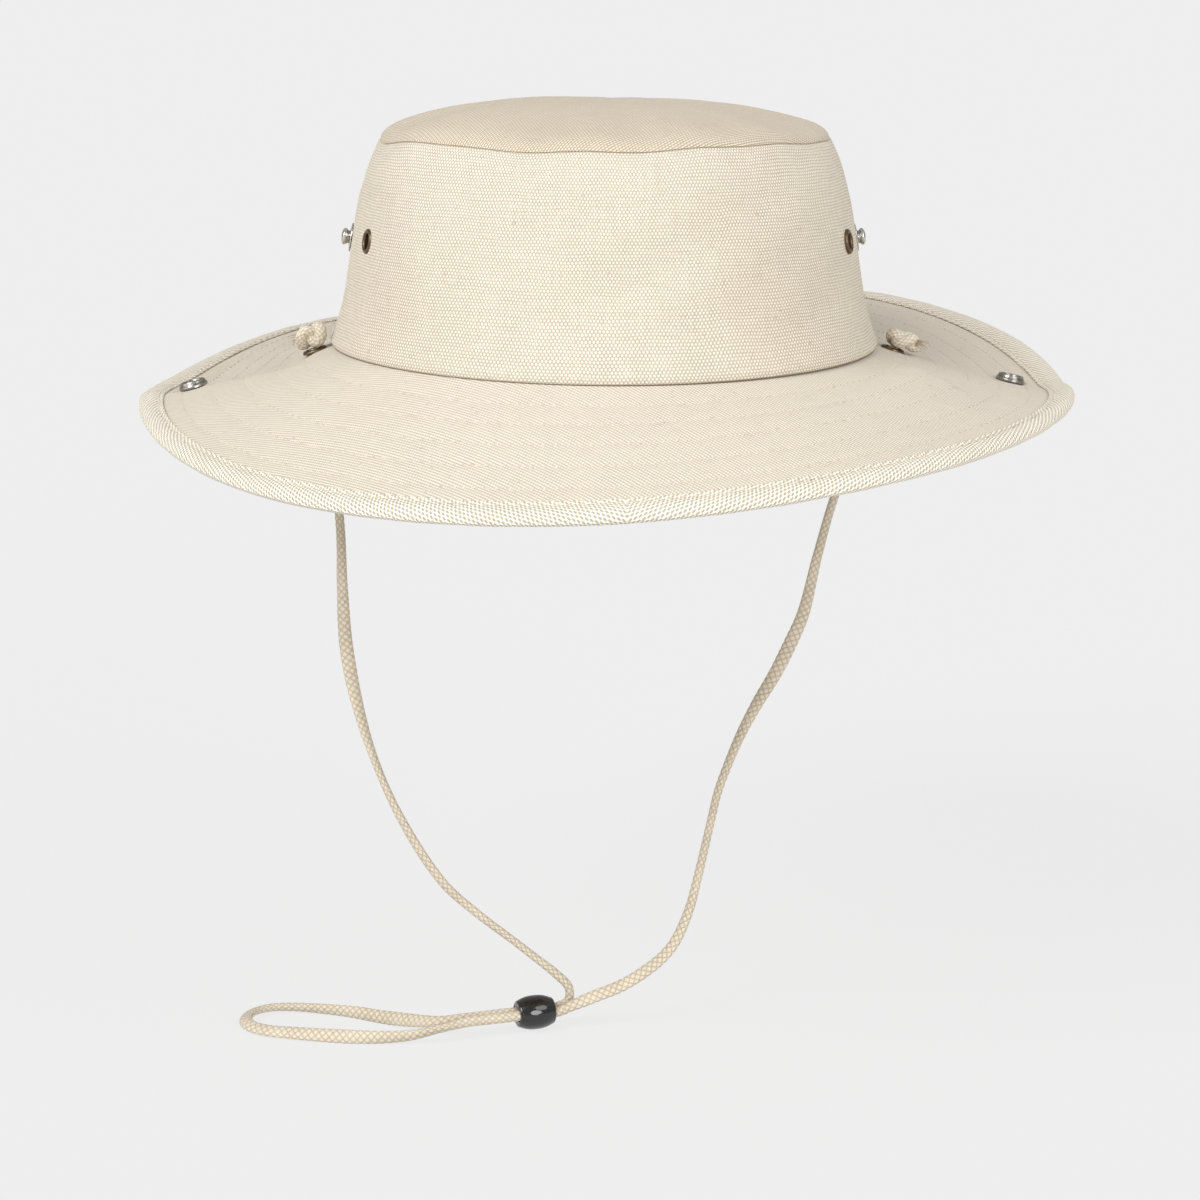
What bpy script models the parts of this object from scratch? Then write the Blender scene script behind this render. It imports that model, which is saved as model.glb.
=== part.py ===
"""Boonie hat with snap-up sides and a chin cord.

Metres, +Z up, the hat's front towards -Y. The origin is the centre of the head
opening, at the foot of the crown. Angles round the hat start at the front (0) and
grow towards +X, so the left side of the model (-X) has negative angles.
"""

import math

import bmesh
import bpy
from mathutils import Matrix, Vector

NAME = "boonie_hat"
GAP = 0.0003                    # kept between pieces that touch
SEAT = 0.0004                   # kept under flat metal on curved cloth

# ---- crown ---------------------------------------------------------------
CROWN_HALF_WIDTH = 0.0860       # outside, at its foot, across the hat
CROWN_HALF_LENGTH = 0.1010      # outside, at its foot, front to back
OVAL = CROWN_HALF_LENGTH / CROWN_HALF_WIDTH
CANVAS = 0.0012                 # thickness of the crown's cloth
WALL_PROFILE = (                # height and half width of the side wall, top first
    (0.0640, 0.0675), (0.0605, 0.0712), (0.0560, 0.0735), (0.0450, 0.0765),
    (0.0260, 0.0795), (0.0140, 0.0815), (0.0060, 0.0835), (-0.0005, 0.0860),
)
TOP_SEAM = 0.0640               # height of the seam between wall and tip
TIP_RISE = 0.0085               # how far the tip domes above that seam
TIP_HALF_WIDTH = 0.0678
BAND_TOP = 0.0245               # sweatband, from just above the foot to here
BAND_CLOTH = 0.0010
BACK_SEAM = 0.0004              # width of the slit where wall and band close
ROUND_STEPS = 56                # facets round the crown

# ---- brim ----------------------------------------------------------------
BRIM_WIDTH = 0.0625             # from the crown's foot to the outside of the rim
BRIM_DROP = 0.0013              # middle of the brim under the crown's foot
SLOPE_FRONT = math.radians(27)
SLOPE_SIDE = {"left": math.radians(18.5), "right": math.radians(17)}
SLOPE_BACK = math.radians(1.3)
LOPSIDED = math.radians(5)      # the left side hangs lower than the right one
CURL = {"left": 0.0045, "right": 0.0065}    # how far the rim turns up at the sides
CURL_ROUND = 3.5                # a power: it fades towards the front and back
CURL_OUT = 8                    # a power: it starts well out from the crown
PLY = 0.0008                    # top and under ply
INTERLINING = 0.0005
PLY_LIFT = PLY / 2 + GAP + INTERLINING / 2
HALF_THICK = PLY_LIFT + PLY / 2
PLY_EDGE = BRIM_WIDTH - 0.0024  # where the plies end, inside the binding
BINDING_WIDTH = 0.0080
BINDING_HALF_THICK = 0.0025
BINDING_CLOTH = 0.0008

# ---- side flaps, the parts of the brim that snap up --------------------------
FOLD_X = 0.0946                 # the fold line runs front to back at this +X and -X
FOLD_Z = -0.0012                # its height at the hat's middle, just over the brim
FOLD_TILT = math.radians(4)     # it rises towards the back
FOLD_GAP = 0.0006
TONGUE_LENGTH = 0.0130          # the brim round a cord eyelet stays down with it
TONGUE_HALF = 0.0110
FLAP_TIP = 0.0025               # narrowest end of a flap's ply

# ---- hardware ------------------------------------------------------------
CORD_EYELET_ANGLE = math.radians(86.5)
CORD_EYELET_OUT = 0.0042        # out from the crown's foot, along the brim
VENT_ANGLES = {"front": math.radians(68), "back": math.radians(112)}
VENT_HEIGHT = 0.0350
STUD_HEIGHT = 0.0335
STUD_Y = -0.0012
SOCKET_OUT = 0.0446
SOCKET_Y = 0.0020
EYELET_RADIUS = 0.0038
EYELET_BORE = 0.0024
BARREL_RADIUS = 0.0029
SNAP_RADIUS = 0.0046
STUD_HEAD_RADIUS = 0.0026
SOCKET_BORE = 0.0032
POST_RADIUS = 0.0014
TURNED_STEPS = 18               # facets round the metal pieces

# ---- chin cord -----------------------------------------------------------
CORD_DIAMETER = 0.0034
CORD_SPACING = 0.0088           # between the tube's points
LANE = 0.0019                   # half the spacing of the two strands in the bead
BEAD_CENTRE = Vector((-0.0225, -0.0370, -0.2070))
BEAD_AXIS = Vector((-0.950, -0.312, 0.0)).normalized()
BEAD_LENGTH = 0.0120
BEAD_RADIUS = 0.0054
BEAD_STRAIGHT = 0.0230          # the strands run straight this far past its centre
LEFT_STRAND = (                 # eyelet to bead
    (-0.0872, -0.0066, -0.0170), (-0.0851, -0.0078, -0.0340), (-0.0829, -0.0095, -0.0565),
    (-0.0824, -0.0117, -0.0751), (-0.0813, -0.0142, -0.0937), (-0.0778, -0.0171, -0.1122),
    (-0.0720, -0.0204, -0.1306), (-0.0634, -0.0239, -0.1491), (-0.0511, -0.0276, -0.1674),
    (-0.0408, -0.0296, -0.1765), (-0.0290, -0.0314, -0.1853), (-0.0222, -0.0322, -0.1906),
    (-0.0160, -0.0323, -0.1957), (-0.0116, -0.0318, -0.2008), (-0.0119, -0.0315, -0.2052),
)
LOOP = (                        # round from the back strand to the front one
    (-0.0530, -0.0425, -0.2079), (-0.0610, -0.0365, -0.2095), (-0.0704, -0.0292, -0.2108),
    (-0.0800, -0.0240, -0.2108), (-0.0896, -0.0205, -0.2108), (-0.0990, -0.0183, -0.2108),
    (-0.1063, -0.0186, -0.2108), (-0.1116, -0.0226, -0.2108), (-0.1138, -0.0293, -0.2108),
    (-0.1121, -0.0362, -0.2108), (-0.1068, -0.0408, -0.2108), (-0.0979, -0.0438, -0.2108),
    (-0.0885, -0.0462, -0.2108), (-0.0790, -0.0480, -0.2108), (-0.0699, -0.0492, -0.2106),
    (-0.0606, -0.0496, -0.2098), (-0.0525, -0.0485, -0.2083),
)
RIGHT_STRAND = (                # bead to eyelet
    (-0.0110, -0.0362, -0.2054), (-0.0045, -0.0356, -0.2028), (0.0049, -0.0349, -0.1992),
    (0.0127, -0.0338, -0.1947), (0.0184, -0.0327, -0.1902), (0.0221, -0.0317, -0.1856),
    (0.0263, -0.0296, -0.1765), (0.0289, -0.0276, -0.1674), (0.0312, -0.0257, -0.1582),
    (0.0334, -0.0239, -0.1491), (0.0357, -0.0221, -0.1399), (0.0392, -0.0204, -0.1306),
    (0.0433, -0.0187, -0.1214), (0.0483, -0.0171, -0.1122), (0.0540, -0.0157, -0.1029),
    (0.0587, -0.0142, -0.0937), (0.0628, -0.0129, -0.0844), (0.0674, -0.0106, -0.0658),
    (0.0727, -0.0086, -0.0472), (0.0800, -0.0074, -0.0280), (0.0845, -0.0066, -0.0150),
)
KNOT = Vector((0.0050, 0.0050, 0.0038))     # half sizes: outward, along the rim, up

MATERIALS = {                   # colour, metallic, roughness
    "canvas": ((0.78, 0.69, 0.56), 0.0, 0.9),
    "lining": ((0.70, 0.62, 0.50), 0.0, 0.9),
    "binding": ((0.80, 0.72, 0.59), 0.0, 0.9),
    "cord": ((0.64, 0.56, 0.44), 0.0, 0.9),
    "antique_brass": ((0.20, 0.15, 0.09), 1.0, 0.4),
    "nickel": ((0.62, 0.60, 0.56), 1.0, 0.25),
    "black_plastic": ((0.01, 0.009, 0.008), 0.0, 0.15),
}


# ---- scene ---------------------------------------------------------------
def empty_scene():
    for thing in list(bpy.data.objects):
        bpy.data.objects.remove(thing, do_unlink=True)


def new_collection(name):
    made = bpy.data.collections.new(name)
    bpy.context.scene.collection.children.link(made)
    return made


empty_scene()
HAT = new_collection(NAME)
CUTTERS = new_collection("cutters")


def material(name, look):
    """Each piece has a material of its own, with one of the looks above."""
    colour, metallic, roughness = MATERIALS[look]
    made = bpy.data.materials.new(name)
    made.use_nodes = True
    shader = made.node_tree.nodes["Principled BSDF"]
    shader.inputs["Base Color"].default_value = (*colour, 1.0)
    shader.inputs["Metallic"].default_value = metallic
    shader.inputs["Roughness"].default_value = roughness
    return made


def add_piece(name, mesh, look, collection=None):
    piece = bpy.data.objects.new(name, mesh)
    (collection or HAT).objects.link(piece)
    if look:
        mesh.materials.append(material(name, look))
    return piece


def apply_modifiers(piece):
    """Bakes the piece's modifiers into its mesh."""
    bpy.context.view_layer.update()
    graph = bpy.context.evaluated_depsgraph_get()
    baked = bpy.data.meshes.new_from_object(piece.evaluated_get(graph))
    piece.modifiers.clear()
    piece.data = baked


def mesh_from(name, points, faces):
    mesh = bpy.data.meshes.new(name)
    mesh.from_pydata([tuple(p) for p in points], [], faces)
    mesh.validate()
    return mesh


def shade(piece, degrees=40):
    piece.data.shade_smooth()
    piece.data.set_sharp_from_angle(angle=math.radians(degrees))


# ---- modelling helpers -----------------------------------------------------
def turned_mesh(name, profile, steps, closed):
    """Turns a profile of (radius, height) pairs about Z; it runs top to bottom outside."""
    count = len(profile)
    edges = [(i, i + 1) for i in range(count - 1)]
    if closed:
        edges.append((count - 1, 0))
    mesh = bpy.data.meshes.new(name)
    mesh.from_pydata([(r, 0.0, z) for r, z in profile], edges, [])
    piece = add_piece(name, mesh, None)
    screw = piece.modifiers.new("turn", "SCREW")
    screw.steps = screw.render_steps = steps
    screw.use_merge_vertices = True
    screw.merge_threshold = 0.00001
    screw.use_normal_calculate = True
    apply_modifiers(piece)
    mesh = piece.data
    bpy.data.objects.remove(piece)
    return mesh


def turned_piece(name, profile, look, place):
    """A closed turned piece, set by a matrix whose Z is its axis."""
    mesh = turned_mesh(name, profile, TURNED_STEPS, closed=True)
    piece = add_piece(name, mesh, look)
    shade(piece)
    mesh.transform(Matrix.Identity(4))
    piece.matrix_world = place
    return piece


def oval_shell(name, profile, thickness, look):
    """An oval shell: a turned skin, drawn out front to back, thickened inwards."""
    mesh = turned_mesh(name, profile, ROUND_STEPS, closed=False)
    mesh.transform(Matrix.Diagonal((1.0, OVAL, 1.0, 1.0)))
    piece = add_piece(name, mesh, look)
    thick = piece.modifiers.new("cloth", "SOLIDIFY")
    thick.thickness = thickness
    thick.offset = -1.0
    apply_modifiers(piece)
    shade(piece)
    return piece


def cut(piece, cutter):
    boolean = piece.modifiers.new("cut", "BOOLEAN")
    boolean.operation = "DIFFERENCE"
    boolean.solver = "EXACT"
    boolean.object = cutter


def cutter_from(name, mesh, place):
    cutter = add_piece(name, mesh, None, CUTTERS)
    cutter.matrix_world = place
    cutter.hide_render = True
    cutter.display_type = "WIRE"
    return cutter


def hole(pieces, radius, place, depth=0.010):
    """Cuts a round hole through the pieces, along the Z of the matrix."""
    shape = bmesh.new()
    bmesh.ops.create_cone(shape, cap_ends=True, segments=TURNED_STEPS, radius1=radius,
                          radius2=radius, depth=depth)
    mesh = bpy.data.meshes.new("hole")
    shape.to_mesh(mesh)
    shape.free()
    cutter = cutter_from("hole", mesh, place)
    for piece in pieces:
        cut(piece, cutter)


def slit(pieces, centre, size):
    """Cuts a straight slit, a box of the given size."""
    shape = bmesh.new()
    bmesh.ops.create_cube(shape, size=1.0, matrix=Matrix.Diagonal((*size, 1.0)))
    mesh = bpy.data.meshes.new("slit")
    shape.to_mesh(mesh)
    shape.free()
    cutter = cutter_from("slit", mesh, Matrix.Translation(centre))
    for piece in pieces:
        cut(piece, cutter)


def frame_on(point, axis):
    """A matrix at the point with its Z along the axis."""
    return Matrix.Translation(point) @ axis.to_track_quat("Z", "Y").to_matrix().to_4x4()


# ---- the shape of the crown ------------------------------------------------
def wall_half_width(height):
    """Outer half width of the crown's wall at a height."""
    for (z1, w1), (z0, w0) in zip(WALL_PROFILE, WALL_PROFILE[1:]):
        if height >= z0:
            return w0 + (w1 - w0) * (height - z0) / (z1 - z0)
    return CROWN_HALF_WIDTH


def wall_lean(height):
    """How much the wall's normal points up at a height."""
    step = 0.004
    low, high = wall_half_width(height - step), wall_half_width(height + step)
    return (low - high) / (2 * step)


def on_wall(angle, height):
    """A point on the crown's outside and the way that its surface faces."""
    width = wall_half_width(height)
    point = Vector((width * math.sin(angle), -width * OVAL * math.cos(angle), height))
    facing = Vector((math.sin(angle), -math.cos(angle) / OVAL, 0)).normalized()
    facing.z = wall_lean(height)
    return point, facing.normalized()


def wall_angle(height, y):
    """The angle at which the wall has this y, on the +X side."""
    return math.acos(-y / (wall_half_width(height) * OVAL))


# ---- the shape of the brim -------------------------------------------------
def smooth(t):
    t = min(max(t, 0.0), 1.0)
    return t * t * (3 - 2 * t)


def wrapped(angle):
    """The same angle, from -180 to 180 degrees."""
    return (angle + math.pi) % (2 * math.pi) - math.pi


def side_of(angle):
    return "left" if wrapped(angle) < 0 else "right"


def brim_slope(angle):
    """How steeply the brim falls away from the crown."""
    angle = wrapped(angle)
    turn = abs(angle)
    quarter = math.pi / 2
    side = SLOPE_SIDE[side_of(angle)]
    if turn < quarter:
        slope = SLOPE_FRONT + (side - SLOPE_FRONT) * smooth(turn / quarter)
    else:
        slope = side + (SLOPE_BACK - side) * smooth((turn - quarter) / (quarter * 2 / 3))
    return slope - LOPSIDED * math.copysign(abs(math.sin(2 * angle)), angle)


def brim_outward(angle):
    """The level direction in which the brim leaves the crown."""
    return Vector((math.sin(angle), -math.cos(angle) / OVAL, 0)).normalized()


def brim_middle(angle, out):
    """The middle of the brim's thickness, out from the crown, and its normal there."""
    level = brim_outward(angle)
    up = Vector((0, 0, 1))
    slope = brim_slope(angle)
    share = out / BRIM_WIDTH
    curl = CURL[side_of(angle)] * abs(math.sin(angle)) ** CURL_ROUND
    point = Vector((CROWN_HALF_WIDTH * math.sin(angle), -CROWN_HALF_LENGTH * math.cos(angle), -BRIM_DROP))
    point += level * out * math.cos(slope)
    point += up * (curl * share ** CURL_OUT - out * math.sin(slope))
    rise = curl * CURL_OUT * share ** (CURL_OUT - 1) / BRIM_WIDTH - math.sin(slope)
    return point, (up * math.cos(slope) - level * rise).normalized()


def brim_point(angle, out, lift=0.0):
    """A point of the brim: out from the crown, lifted above the brim's middle."""
    middle, normal = brim_middle(angle, out)
    return middle + normal * lift


def fold_x(y):
    """Where the fold is at this y: a straight line with a tongue round the cord."""
    centre = -CROWN_HALF_LENGTH * math.cos(CORD_EYELET_ANGLE)
    off = abs(y - centre) / TONGUE_HALF
    tongue = TONGUE_LENGTH * math.cos(off * math.pi / 2) ** 2 if off < 1 else 0.0
    return FOLD_X + tongue


def fold_out(angle):
    """How far out the brim meets the fold at an angle; past the rim if it doesn't."""
    low, high = 0.0, BRIM_WIDTH
    point = brim_point(angle, high)
    if abs(point.x) < fold_x(point.y):
        return 2 * BRIM_WIDTH
    for _ in range(30):
        middle = (low + high) / 2
        point = brim_point(angle, middle)
        if abs(point.x) < fold_x(point.y):
            low = middle
        else:
            high = middle
    return (low + high) / 2


def fold_margin(angle):
    """Half the fold's gap, measured along the brim at an angle."""
    return FOLD_GAP / 2 / max(abs(brim_outward(angle).x), 0.3)


def flap_limits():
    """The two angles between which the +X flap reaches the rim."""
    reach = PLY_EDGE - FLAP_TIP
    inside = [math.radians(a / 2) for a in range(40, 340)]
    inside = [a for a in inside if all(fold_out(s * a) + fold_margin(a) < reach for s in (-1, 1))]
    return inside[0], inside[-1]


FLAP_START, FLAP_END = flap_limits()


def spread(start, end, step):
    """Even angles from start to end, about a step apart."""
    count = max(1, round((end - start) / step))
    return [start + (end - start) * i / count for i in range(count + 1)]


def side_angles():
    """Angles across a flap, close together near the tongue."""
    near = math.radians(9)
    first = spread(FLAP_START, CORD_EYELET_ANGLE - near, math.radians(4))
    middle = spread(CORD_EYELET_ANGLE - near, CORD_EYELET_ANGLE + near, math.radians(1.8))
    last = spread(CORD_EYELET_ANGLE + near, FLAP_END, math.radians(4))
    return first[:-1] + middle + last[1:]


def ring_angles():
    """Angles once round the brim, from the front."""
    right = side_angles()
    front = spread(-FLAP_START, FLAP_START, math.radians(6))
    back = spread(FLAP_END, 2 * math.pi - FLAP_END, math.radians(6))
    left = [-a for a in reversed(right)]
    return front[:-1] + right[:-1] + back[:-1] + [a + 2 * math.pi for a in left][:-1]


# ---- the brim's pieces -----------------------------------------------------
def steps_out(start, end, shares):
    """Distances out from start to end; the last step is the one inside the binding."""
    covered = min(BINDING_WIDTH - (BRIM_WIDTH - PLY_EDGE), (end - start) / 2)
    return [start + (end - covered - start) * share for share in shares] + [end]


def brim_cloth(name, angles, closed, reach, lift, thickness, look, shares):
    """One layer of the brim. reach(angle) gives where it starts and ends, going out."""
    points, faces = [], []
    for angle in angles:
        points += [brim_point(angle, out, lift) for out in steps_out(*reach(angle), shares)]
    columns = len(angles)
    wide = len(shares) + 1
    for c in range(columns if closed else columns - 1):
        nxt = (c + 1) % columns
        for r in range(wide - 1):
            faces.append((c * wide + r, c * wide + r + 1, nxt * wide + r + 1, nxt * wide + r))
    piece = add_piece(name, mesh_from(name, points, faces), look)
    thick = piece.modifiers.new("cloth", "SOLIDIFY")
    thick.thickness = thickness
    thick.offset = 0.0
    apply_modifiers(piece)
    face_outwards(piece.data)
    shade(piece)
    return piece


def face_outwards(mesh):
    shape = bmesh.new()
    shape.from_mesh(mesh)
    bmesh.ops.recalc_face_normals(shape, faces=shape.faces)
    shape.to_mesh(mesh)
    shape.free()


def ring_reach(angle):
    return GAP, min(PLY_EDGE, fold_out(angle) - fold_margin(angle))


def flap_reach(angle):
    return fold_out(angle) + fold_margin(angle), PLY_EDGE


LAYERS = (                      # name, height above the brim's middle, thickness
    ("top_ply", PLY_LIFT, PLY, "canvas"),
    ("interlining", 0.0, INTERLINING, "lining"),
    ("under_ply", -PLY_LIFT, PLY, "canvas"),
)
RING_SHARES = (0.0, 0.6, 1.0)
FLAP_SHARES = (0.0, 0.5, 0.8, 1.0)
SIDES = {"left": -1, "right": 1}

ring_layers = []
flap_layers = {"left": [], "right": []}
for layer, lift, thickness, look in LAYERS:
    ring_layers.append(brim_cloth(f"brim_{layer}", ring_angles(), True, ring_reach, lift,
                                  thickness, look, RING_SHARES))
    for side, sign in SIDES.items():
        flap_layers[side].append(brim_cloth(f"{side}_flap_{layer}", [sign * a for a in side_angles()],
                                            False, flap_reach, lift, thickness, look, FLAP_SHARES))


def binding_section():
    """Section of the folded tape over the rim: (in from the rim, up) pairs."""
    wide, high, cloth = BINDING_WIDTH, BINDING_HALF_THICK, BINDING_CLOTH
    outer = ((-wide, 0.85 * high), (-0.65 * wide, high), (-0.26 * wide, 0.92 * high), (0.0, 0.35 * high))
    inner = [(u, 0.85 * high - cloth / 2) for u in (-wide, -0.6 * wide, -cloth * 1.8)]
    top = list(outer) + [(a, -b) for a, b in reversed(outer)]
    return top + [(a, -b) for a, b in inner] + list(reversed(inner))


def binding(name, angles):
    """The rim's binding along the angles: a loft of its section with closed ends."""
    section = binding_section()
    sides = len(section)
    points = [brim_point(a, BRIM_WIDTH + u, v) for a in angles for u, v in section]
    faces = [tuple(range(sides)), tuple(range((len(angles) - 1) * sides, len(angles) * sides))]
    for c in range(len(angles) - 1):
        for i in range(sides):
            j = (i + 1) % sides
            faces.append((c * sides + i, c * sides + j, (c + 1) * sides + j, (c + 1) * sides + i))
    piece = add_piece(name, mesh_from(name, points, faces), "binding")
    face_outwards(piece.data)
    shade(piece)
    return piece


BINDING_JOIN = GAP / BRIM_WIDTH / 3
binding_step = math.radians(4)
binding("binding_front", spread(-FLAP_START + BINDING_JOIN, FLAP_START - BINDING_JOIN, binding_step))
binding("binding_back", spread(FLAP_END + BINDING_JOIN, 2 * math.pi - FLAP_END - BINDING_JOIN,
                               binding_step))
for side, sign in SIDES.items():
    binding(f"{side}_flap_binding", [sign * a for a in spread(FLAP_START, FLAP_END, binding_step)])


# ---- the crown's pieces ----------------------------------------------------
def dome_profile(steps=6):
    """The tip from its middle to its edge: a flat dome with a soft shoulder."""
    profile = []
    for i in range(steps + 1):
        share = math.sin(math.pi / 2 * i / steps)
        height = TOP_SEAM + GAP + CANVAS + TIP_RISE * (1 - share ** 3.5)
        profile.append((TIP_HALF_WIDTH * share, height))
    return profile


crown_side = oval_shell("crown_side", [(w, z) for z, w in WALL_PROFILE], CANVAS, "canvas")
crown_tip = oval_shell("crown_tip", dome_profile(), CANVAS, "canvas")
band_heights = (BAND_TOP, BAND_TOP * 0.6, BAND_TOP * 0.25, GAP)
sweatband = oval_shell("sweatband", [(wall_half_width(z) - CANVAS - GAP * 1.5, z) for z in band_heights],
                       BAND_CLOTH, "lining")
slit([crown_side, sweatband], Vector((0, CROWN_HALF_LENGTH * 0.9, TOP_SEAM / 2)),
     (BACK_SEAM, 0.06, 0.2))


# ---- eyelets and snaps -----------------------------------------------------
def ring_profile(outer, inner, top, bottom, bevel=0.0003):
    """Section of a flat ring from its outside top round to its inside top."""
    return [(outer - bevel, top), (outer, top - bevel), (outer, bottom + bevel), (outer - bevel, bottom),
            (inner, bottom), (inner, top)]


def eyelet(name, place, wall):
    """A rolled flange with a barrel through the cloth, and its washer behind."""
    half = wall / 2
    flange = half + SEAT
    rolled = flange + 0.0008
    tail = -half - SEAT - 0.0009
    profile = [(EYELET_RADIUS - 0.0009, rolled), (EYELET_RADIUS, flange + 0.0003),
               (EYELET_RADIUS - 0.0002, flange), (BARREL_RADIUS - GAP, flange),
               (BARREL_RADIUS - GAP, tail), (EYELET_BORE, tail), (EYELET_BORE, flange)]
    turned_piece(f"{name}_eyelet", profile, "antique_brass", place)
    washer = ring_profile(EYELET_RADIUS + 0.0004, BARREL_RADIUS, -half - SEAT, -half - SEAT - 0.0007, 0.0002)
    turned_piece(f"{name}_washer", washer, "antique_brass", place)


def stud(side, place):
    """The snap's stud on the crown's outside, and its post from the inside."""
    base = CANVAS / 2 + SEAT
    top = base + 0.0031
    profile = [(0.0, top), (STUD_HEAD_RADIUS * 0.6, top - 0.0001), (STUD_HEAD_RADIUS, top - 0.0006),
               (STUD_HEAD_RADIUS, top - 0.0014), (STUD_HEAD_RADIUS * 0.8, base + 0.0008),
               (SNAP_RADIUS - 0.0002, base + 0.0006), (SNAP_RADIUS, base + 0.0002),
               (SNAP_RADIUS, base), (0.0, base)]
    turned_piece(f"{side}_snap_stud", profile, "nickel", place)
    turned_piece(f"{side}_stud_post", post_profile(CANVAS), "nickel", place)


def post_profile(wall):
    """A flat cap under the cloth with a post that ends inside it."""
    cap = -wall / 2 - SEAT
    return [(0.0, wall / 2 - GAP), (POST_RADIUS, wall / 2 - GAP), (POST_RADIUS, cap),
            (SNAP_RADIUS - 0.0002, cap), (SNAP_RADIUS, cap - 0.0003), (SNAP_RADIUS - 0.0004, cap - 0.0008),
            (0.0, cap - 0.0009)]


def snap_socket(side, place):
    """The snap's socket on the brim's top, and its cap underneath."""
    base = HALF_THICK + SEAT
    turned_piece(f"{side}_snap_socket",
                 ring_profile(SNAP_RADIUS, SOCKET_BORE, base + 0.0019, base, 0.0005), "nickel", place)
    turned_piece(f"{side}_socket_cap", post_profile(2 * HALF_THICK), "nickel", place)


for side, sign in SIDES.items():
    for end, angle in VENT_ANGLES.items():
        point, facing = on_wall(sign * angle, VENT_HEIGHT)
        place = frame_on(point - facing * (CANVAS / 2), facing)
        eyelet(f"{side}_{end}_vent", place, CANVAS)
        hole([crown_side], BARREL_RADIUS, place)
    point, facing = on_wall(sign * wall_angle(STUD_HEIGHT, STUD_Y), STUD_HEIGHT)
    place = frame_on(point - facing * (CANVAS / 2), facing)
    stud(side, place)
    hole([crown_side], POST_RADIUS + GAP, place)
    socket_angle = math.acos(-SOCKET_Y / (CROWN_HALF_LENGTH + SOCKET_OUT))
    place = frame_on(*brim_middle(sign * socket_angle, SOCKET_OUT))
    snap_socket(side, place)
    hole(flap_layers[side], POST_RADIUS + GAP, place)
    place = frame_on(*brim_middle(sign * CORD_EYELET_ANGLE, CORD_EYELET_OUT))
    eyelet(f"{side}_cord", place, 2 * HALF_THICK)
    hole(ring_layers, BARREL_RADIUS, place)


# ---- chin cord -------------------------------------------------------------
def through_points(points, per_span=24):
    """A smooth curve through the points (centripetal Catmull-Rom), finely sampled."""
    padded = [points[0] * 2 - points[1], *points, points[-1] * 2 - points[-2]]
    curve = []
    for p0, p1, p2, p3 in zip(padded, padded[1:], padded[2:], padded[3:]):
        t1 = math.sqrt((p1 - p0).length)
        t2 = t1 + math.sqrt((p2 - p1).length)
        t3 = t2 + math.sqrt((p3 - p2).length)
        for i in range(per_span):
            t = t1 + (t2 - t1) * i / per_span
            a1 = p0 + (p1 - p0) * (t / t1)
            a2 = p1 + (p2 - p1) * ((t - t1) / (t2 - t1))
            a3 = p2 + (p3 - p2) * ((t - t2) / (t3 - t2))
            b1 = a1 + (a2 - a1) * (t / t2)
            b2 = a2 + (a3 - a2) * ((t - t1) / (t3 - t1))
            curve.append(b1 + (b2 - b1) * ((t - t1) / (t2 - t1)))
    return curve + [points[-1]]


def evenly(curve, spacing):
    """Points along the curve, the given spacing apart."""
    lengths = [0.0]
    for a, b in zip(curve, curve[1:]):
        lengths.append(lengths[-1] + (b - a).length)
    count = round(lengths[-1] / spacing)
    picked, i = [], 0
    for n in range(count + 1):
        want = lengths[-1] * n / count
        while i < len(curve) - 2 and lengths[i + 1] < want:
            i += 1
        share = (want - lengths[i]) / (lengths[i + 1] - lengths[i])
        picked.append(curve[i].lerp(curve[i + 1], min(max(share, 0.0), 1.0)))
    return picked


def cord_route():
    """From the left knot, through its eyelet, bead, loop and bead, to the right knot."""
    across = Vector((-BEAD_AXIS.y, BEAD_AXIS.x, 0))
    route = []
    for sign in (-1, 1):
        middle, normal = brim_middle(sign * CORD_EYELET_ANGLE, CORD_EYELET_OUT)
        top = HALF_THICK + 0.0010
        route.append([middle + normal * h for h in (top, 0.0, -HALF_THICK - 0.0035)])
    lane = [BEAD_CENTRE + BEAD_AXIS * s * BEAD_STRAIGHT for s in (-0.32, -0.1, 0.35, 0.7, 1.0)]
    back = [p - across * LANE for p in lane]
    front = [p + across * LANE for p in reversed(lane)]
    left, right = ([Vector(p) for p in points] for points in (LEFT_STRAND, RIGHT_STRAND))
    loop = [Vector(p) for p in LOOP]
    return route[0] + left + back + loop + front + right + list(reversed(route[1]))


def chin_cord():
    points = evenly(through_points(cord_route()), CORD_SPACING)
    curve = bpy.data.curves.new("chin_cord", "CURVE")
    curve.dimensions = "3D"
    curve.bevel_depth = CORD_DIAMETER / 2
    curve.bevel_resolution = 2
    curve.use_fill_caps = True
    spline = curve.splines.new("POLY")
    spline.points.add(len(points) - 1)
    for slot, point in zip(spline.points, points):
        slot.co = (*point, 1.0)
    curve.materials.append(material("chin_cord", "cord"))
    HAT.objects.link(bpy.data.objects.new("chin_cord", curve))


def knot(side, sign):
    """A stopper knot that sits on its eyelet."""
    middle, normal = brim_middle(sign * CORD_EYELET_ANGLE, CORD_EYELET_OUT)
    centre = middle + normal * (HALF_THICK + SEAT + 0.0008 + GAP + KNOT.z)
    level = brim_outward(sign * CORD_EYELET_ANGLE)
    turn = Matrix((level, Vector((-level.y, level.x, 0)), Vector((0, 0, 1)))).transposed().to_4x4()
    shape = bmesh.new()
    bmesh.ops.create_uvsphere(shape, u_segments=12, v_segments=8, radius=1.0)
    bmesh.ops.transform(shape, matrix=Matrix.Diagonal((*KNOT, 1.0)), verts=shape.verts)
    mesh = bpy.data.meshes.new(f"{side}_knot")
    shape.to_mesh(mesh)
    shape.free()
    piece = add_piece(f"{side}_knot", mesh, "cord")
    piece.matrix_world = Matrix.Translation(centre) @ turn
    shade(piece)


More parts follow.
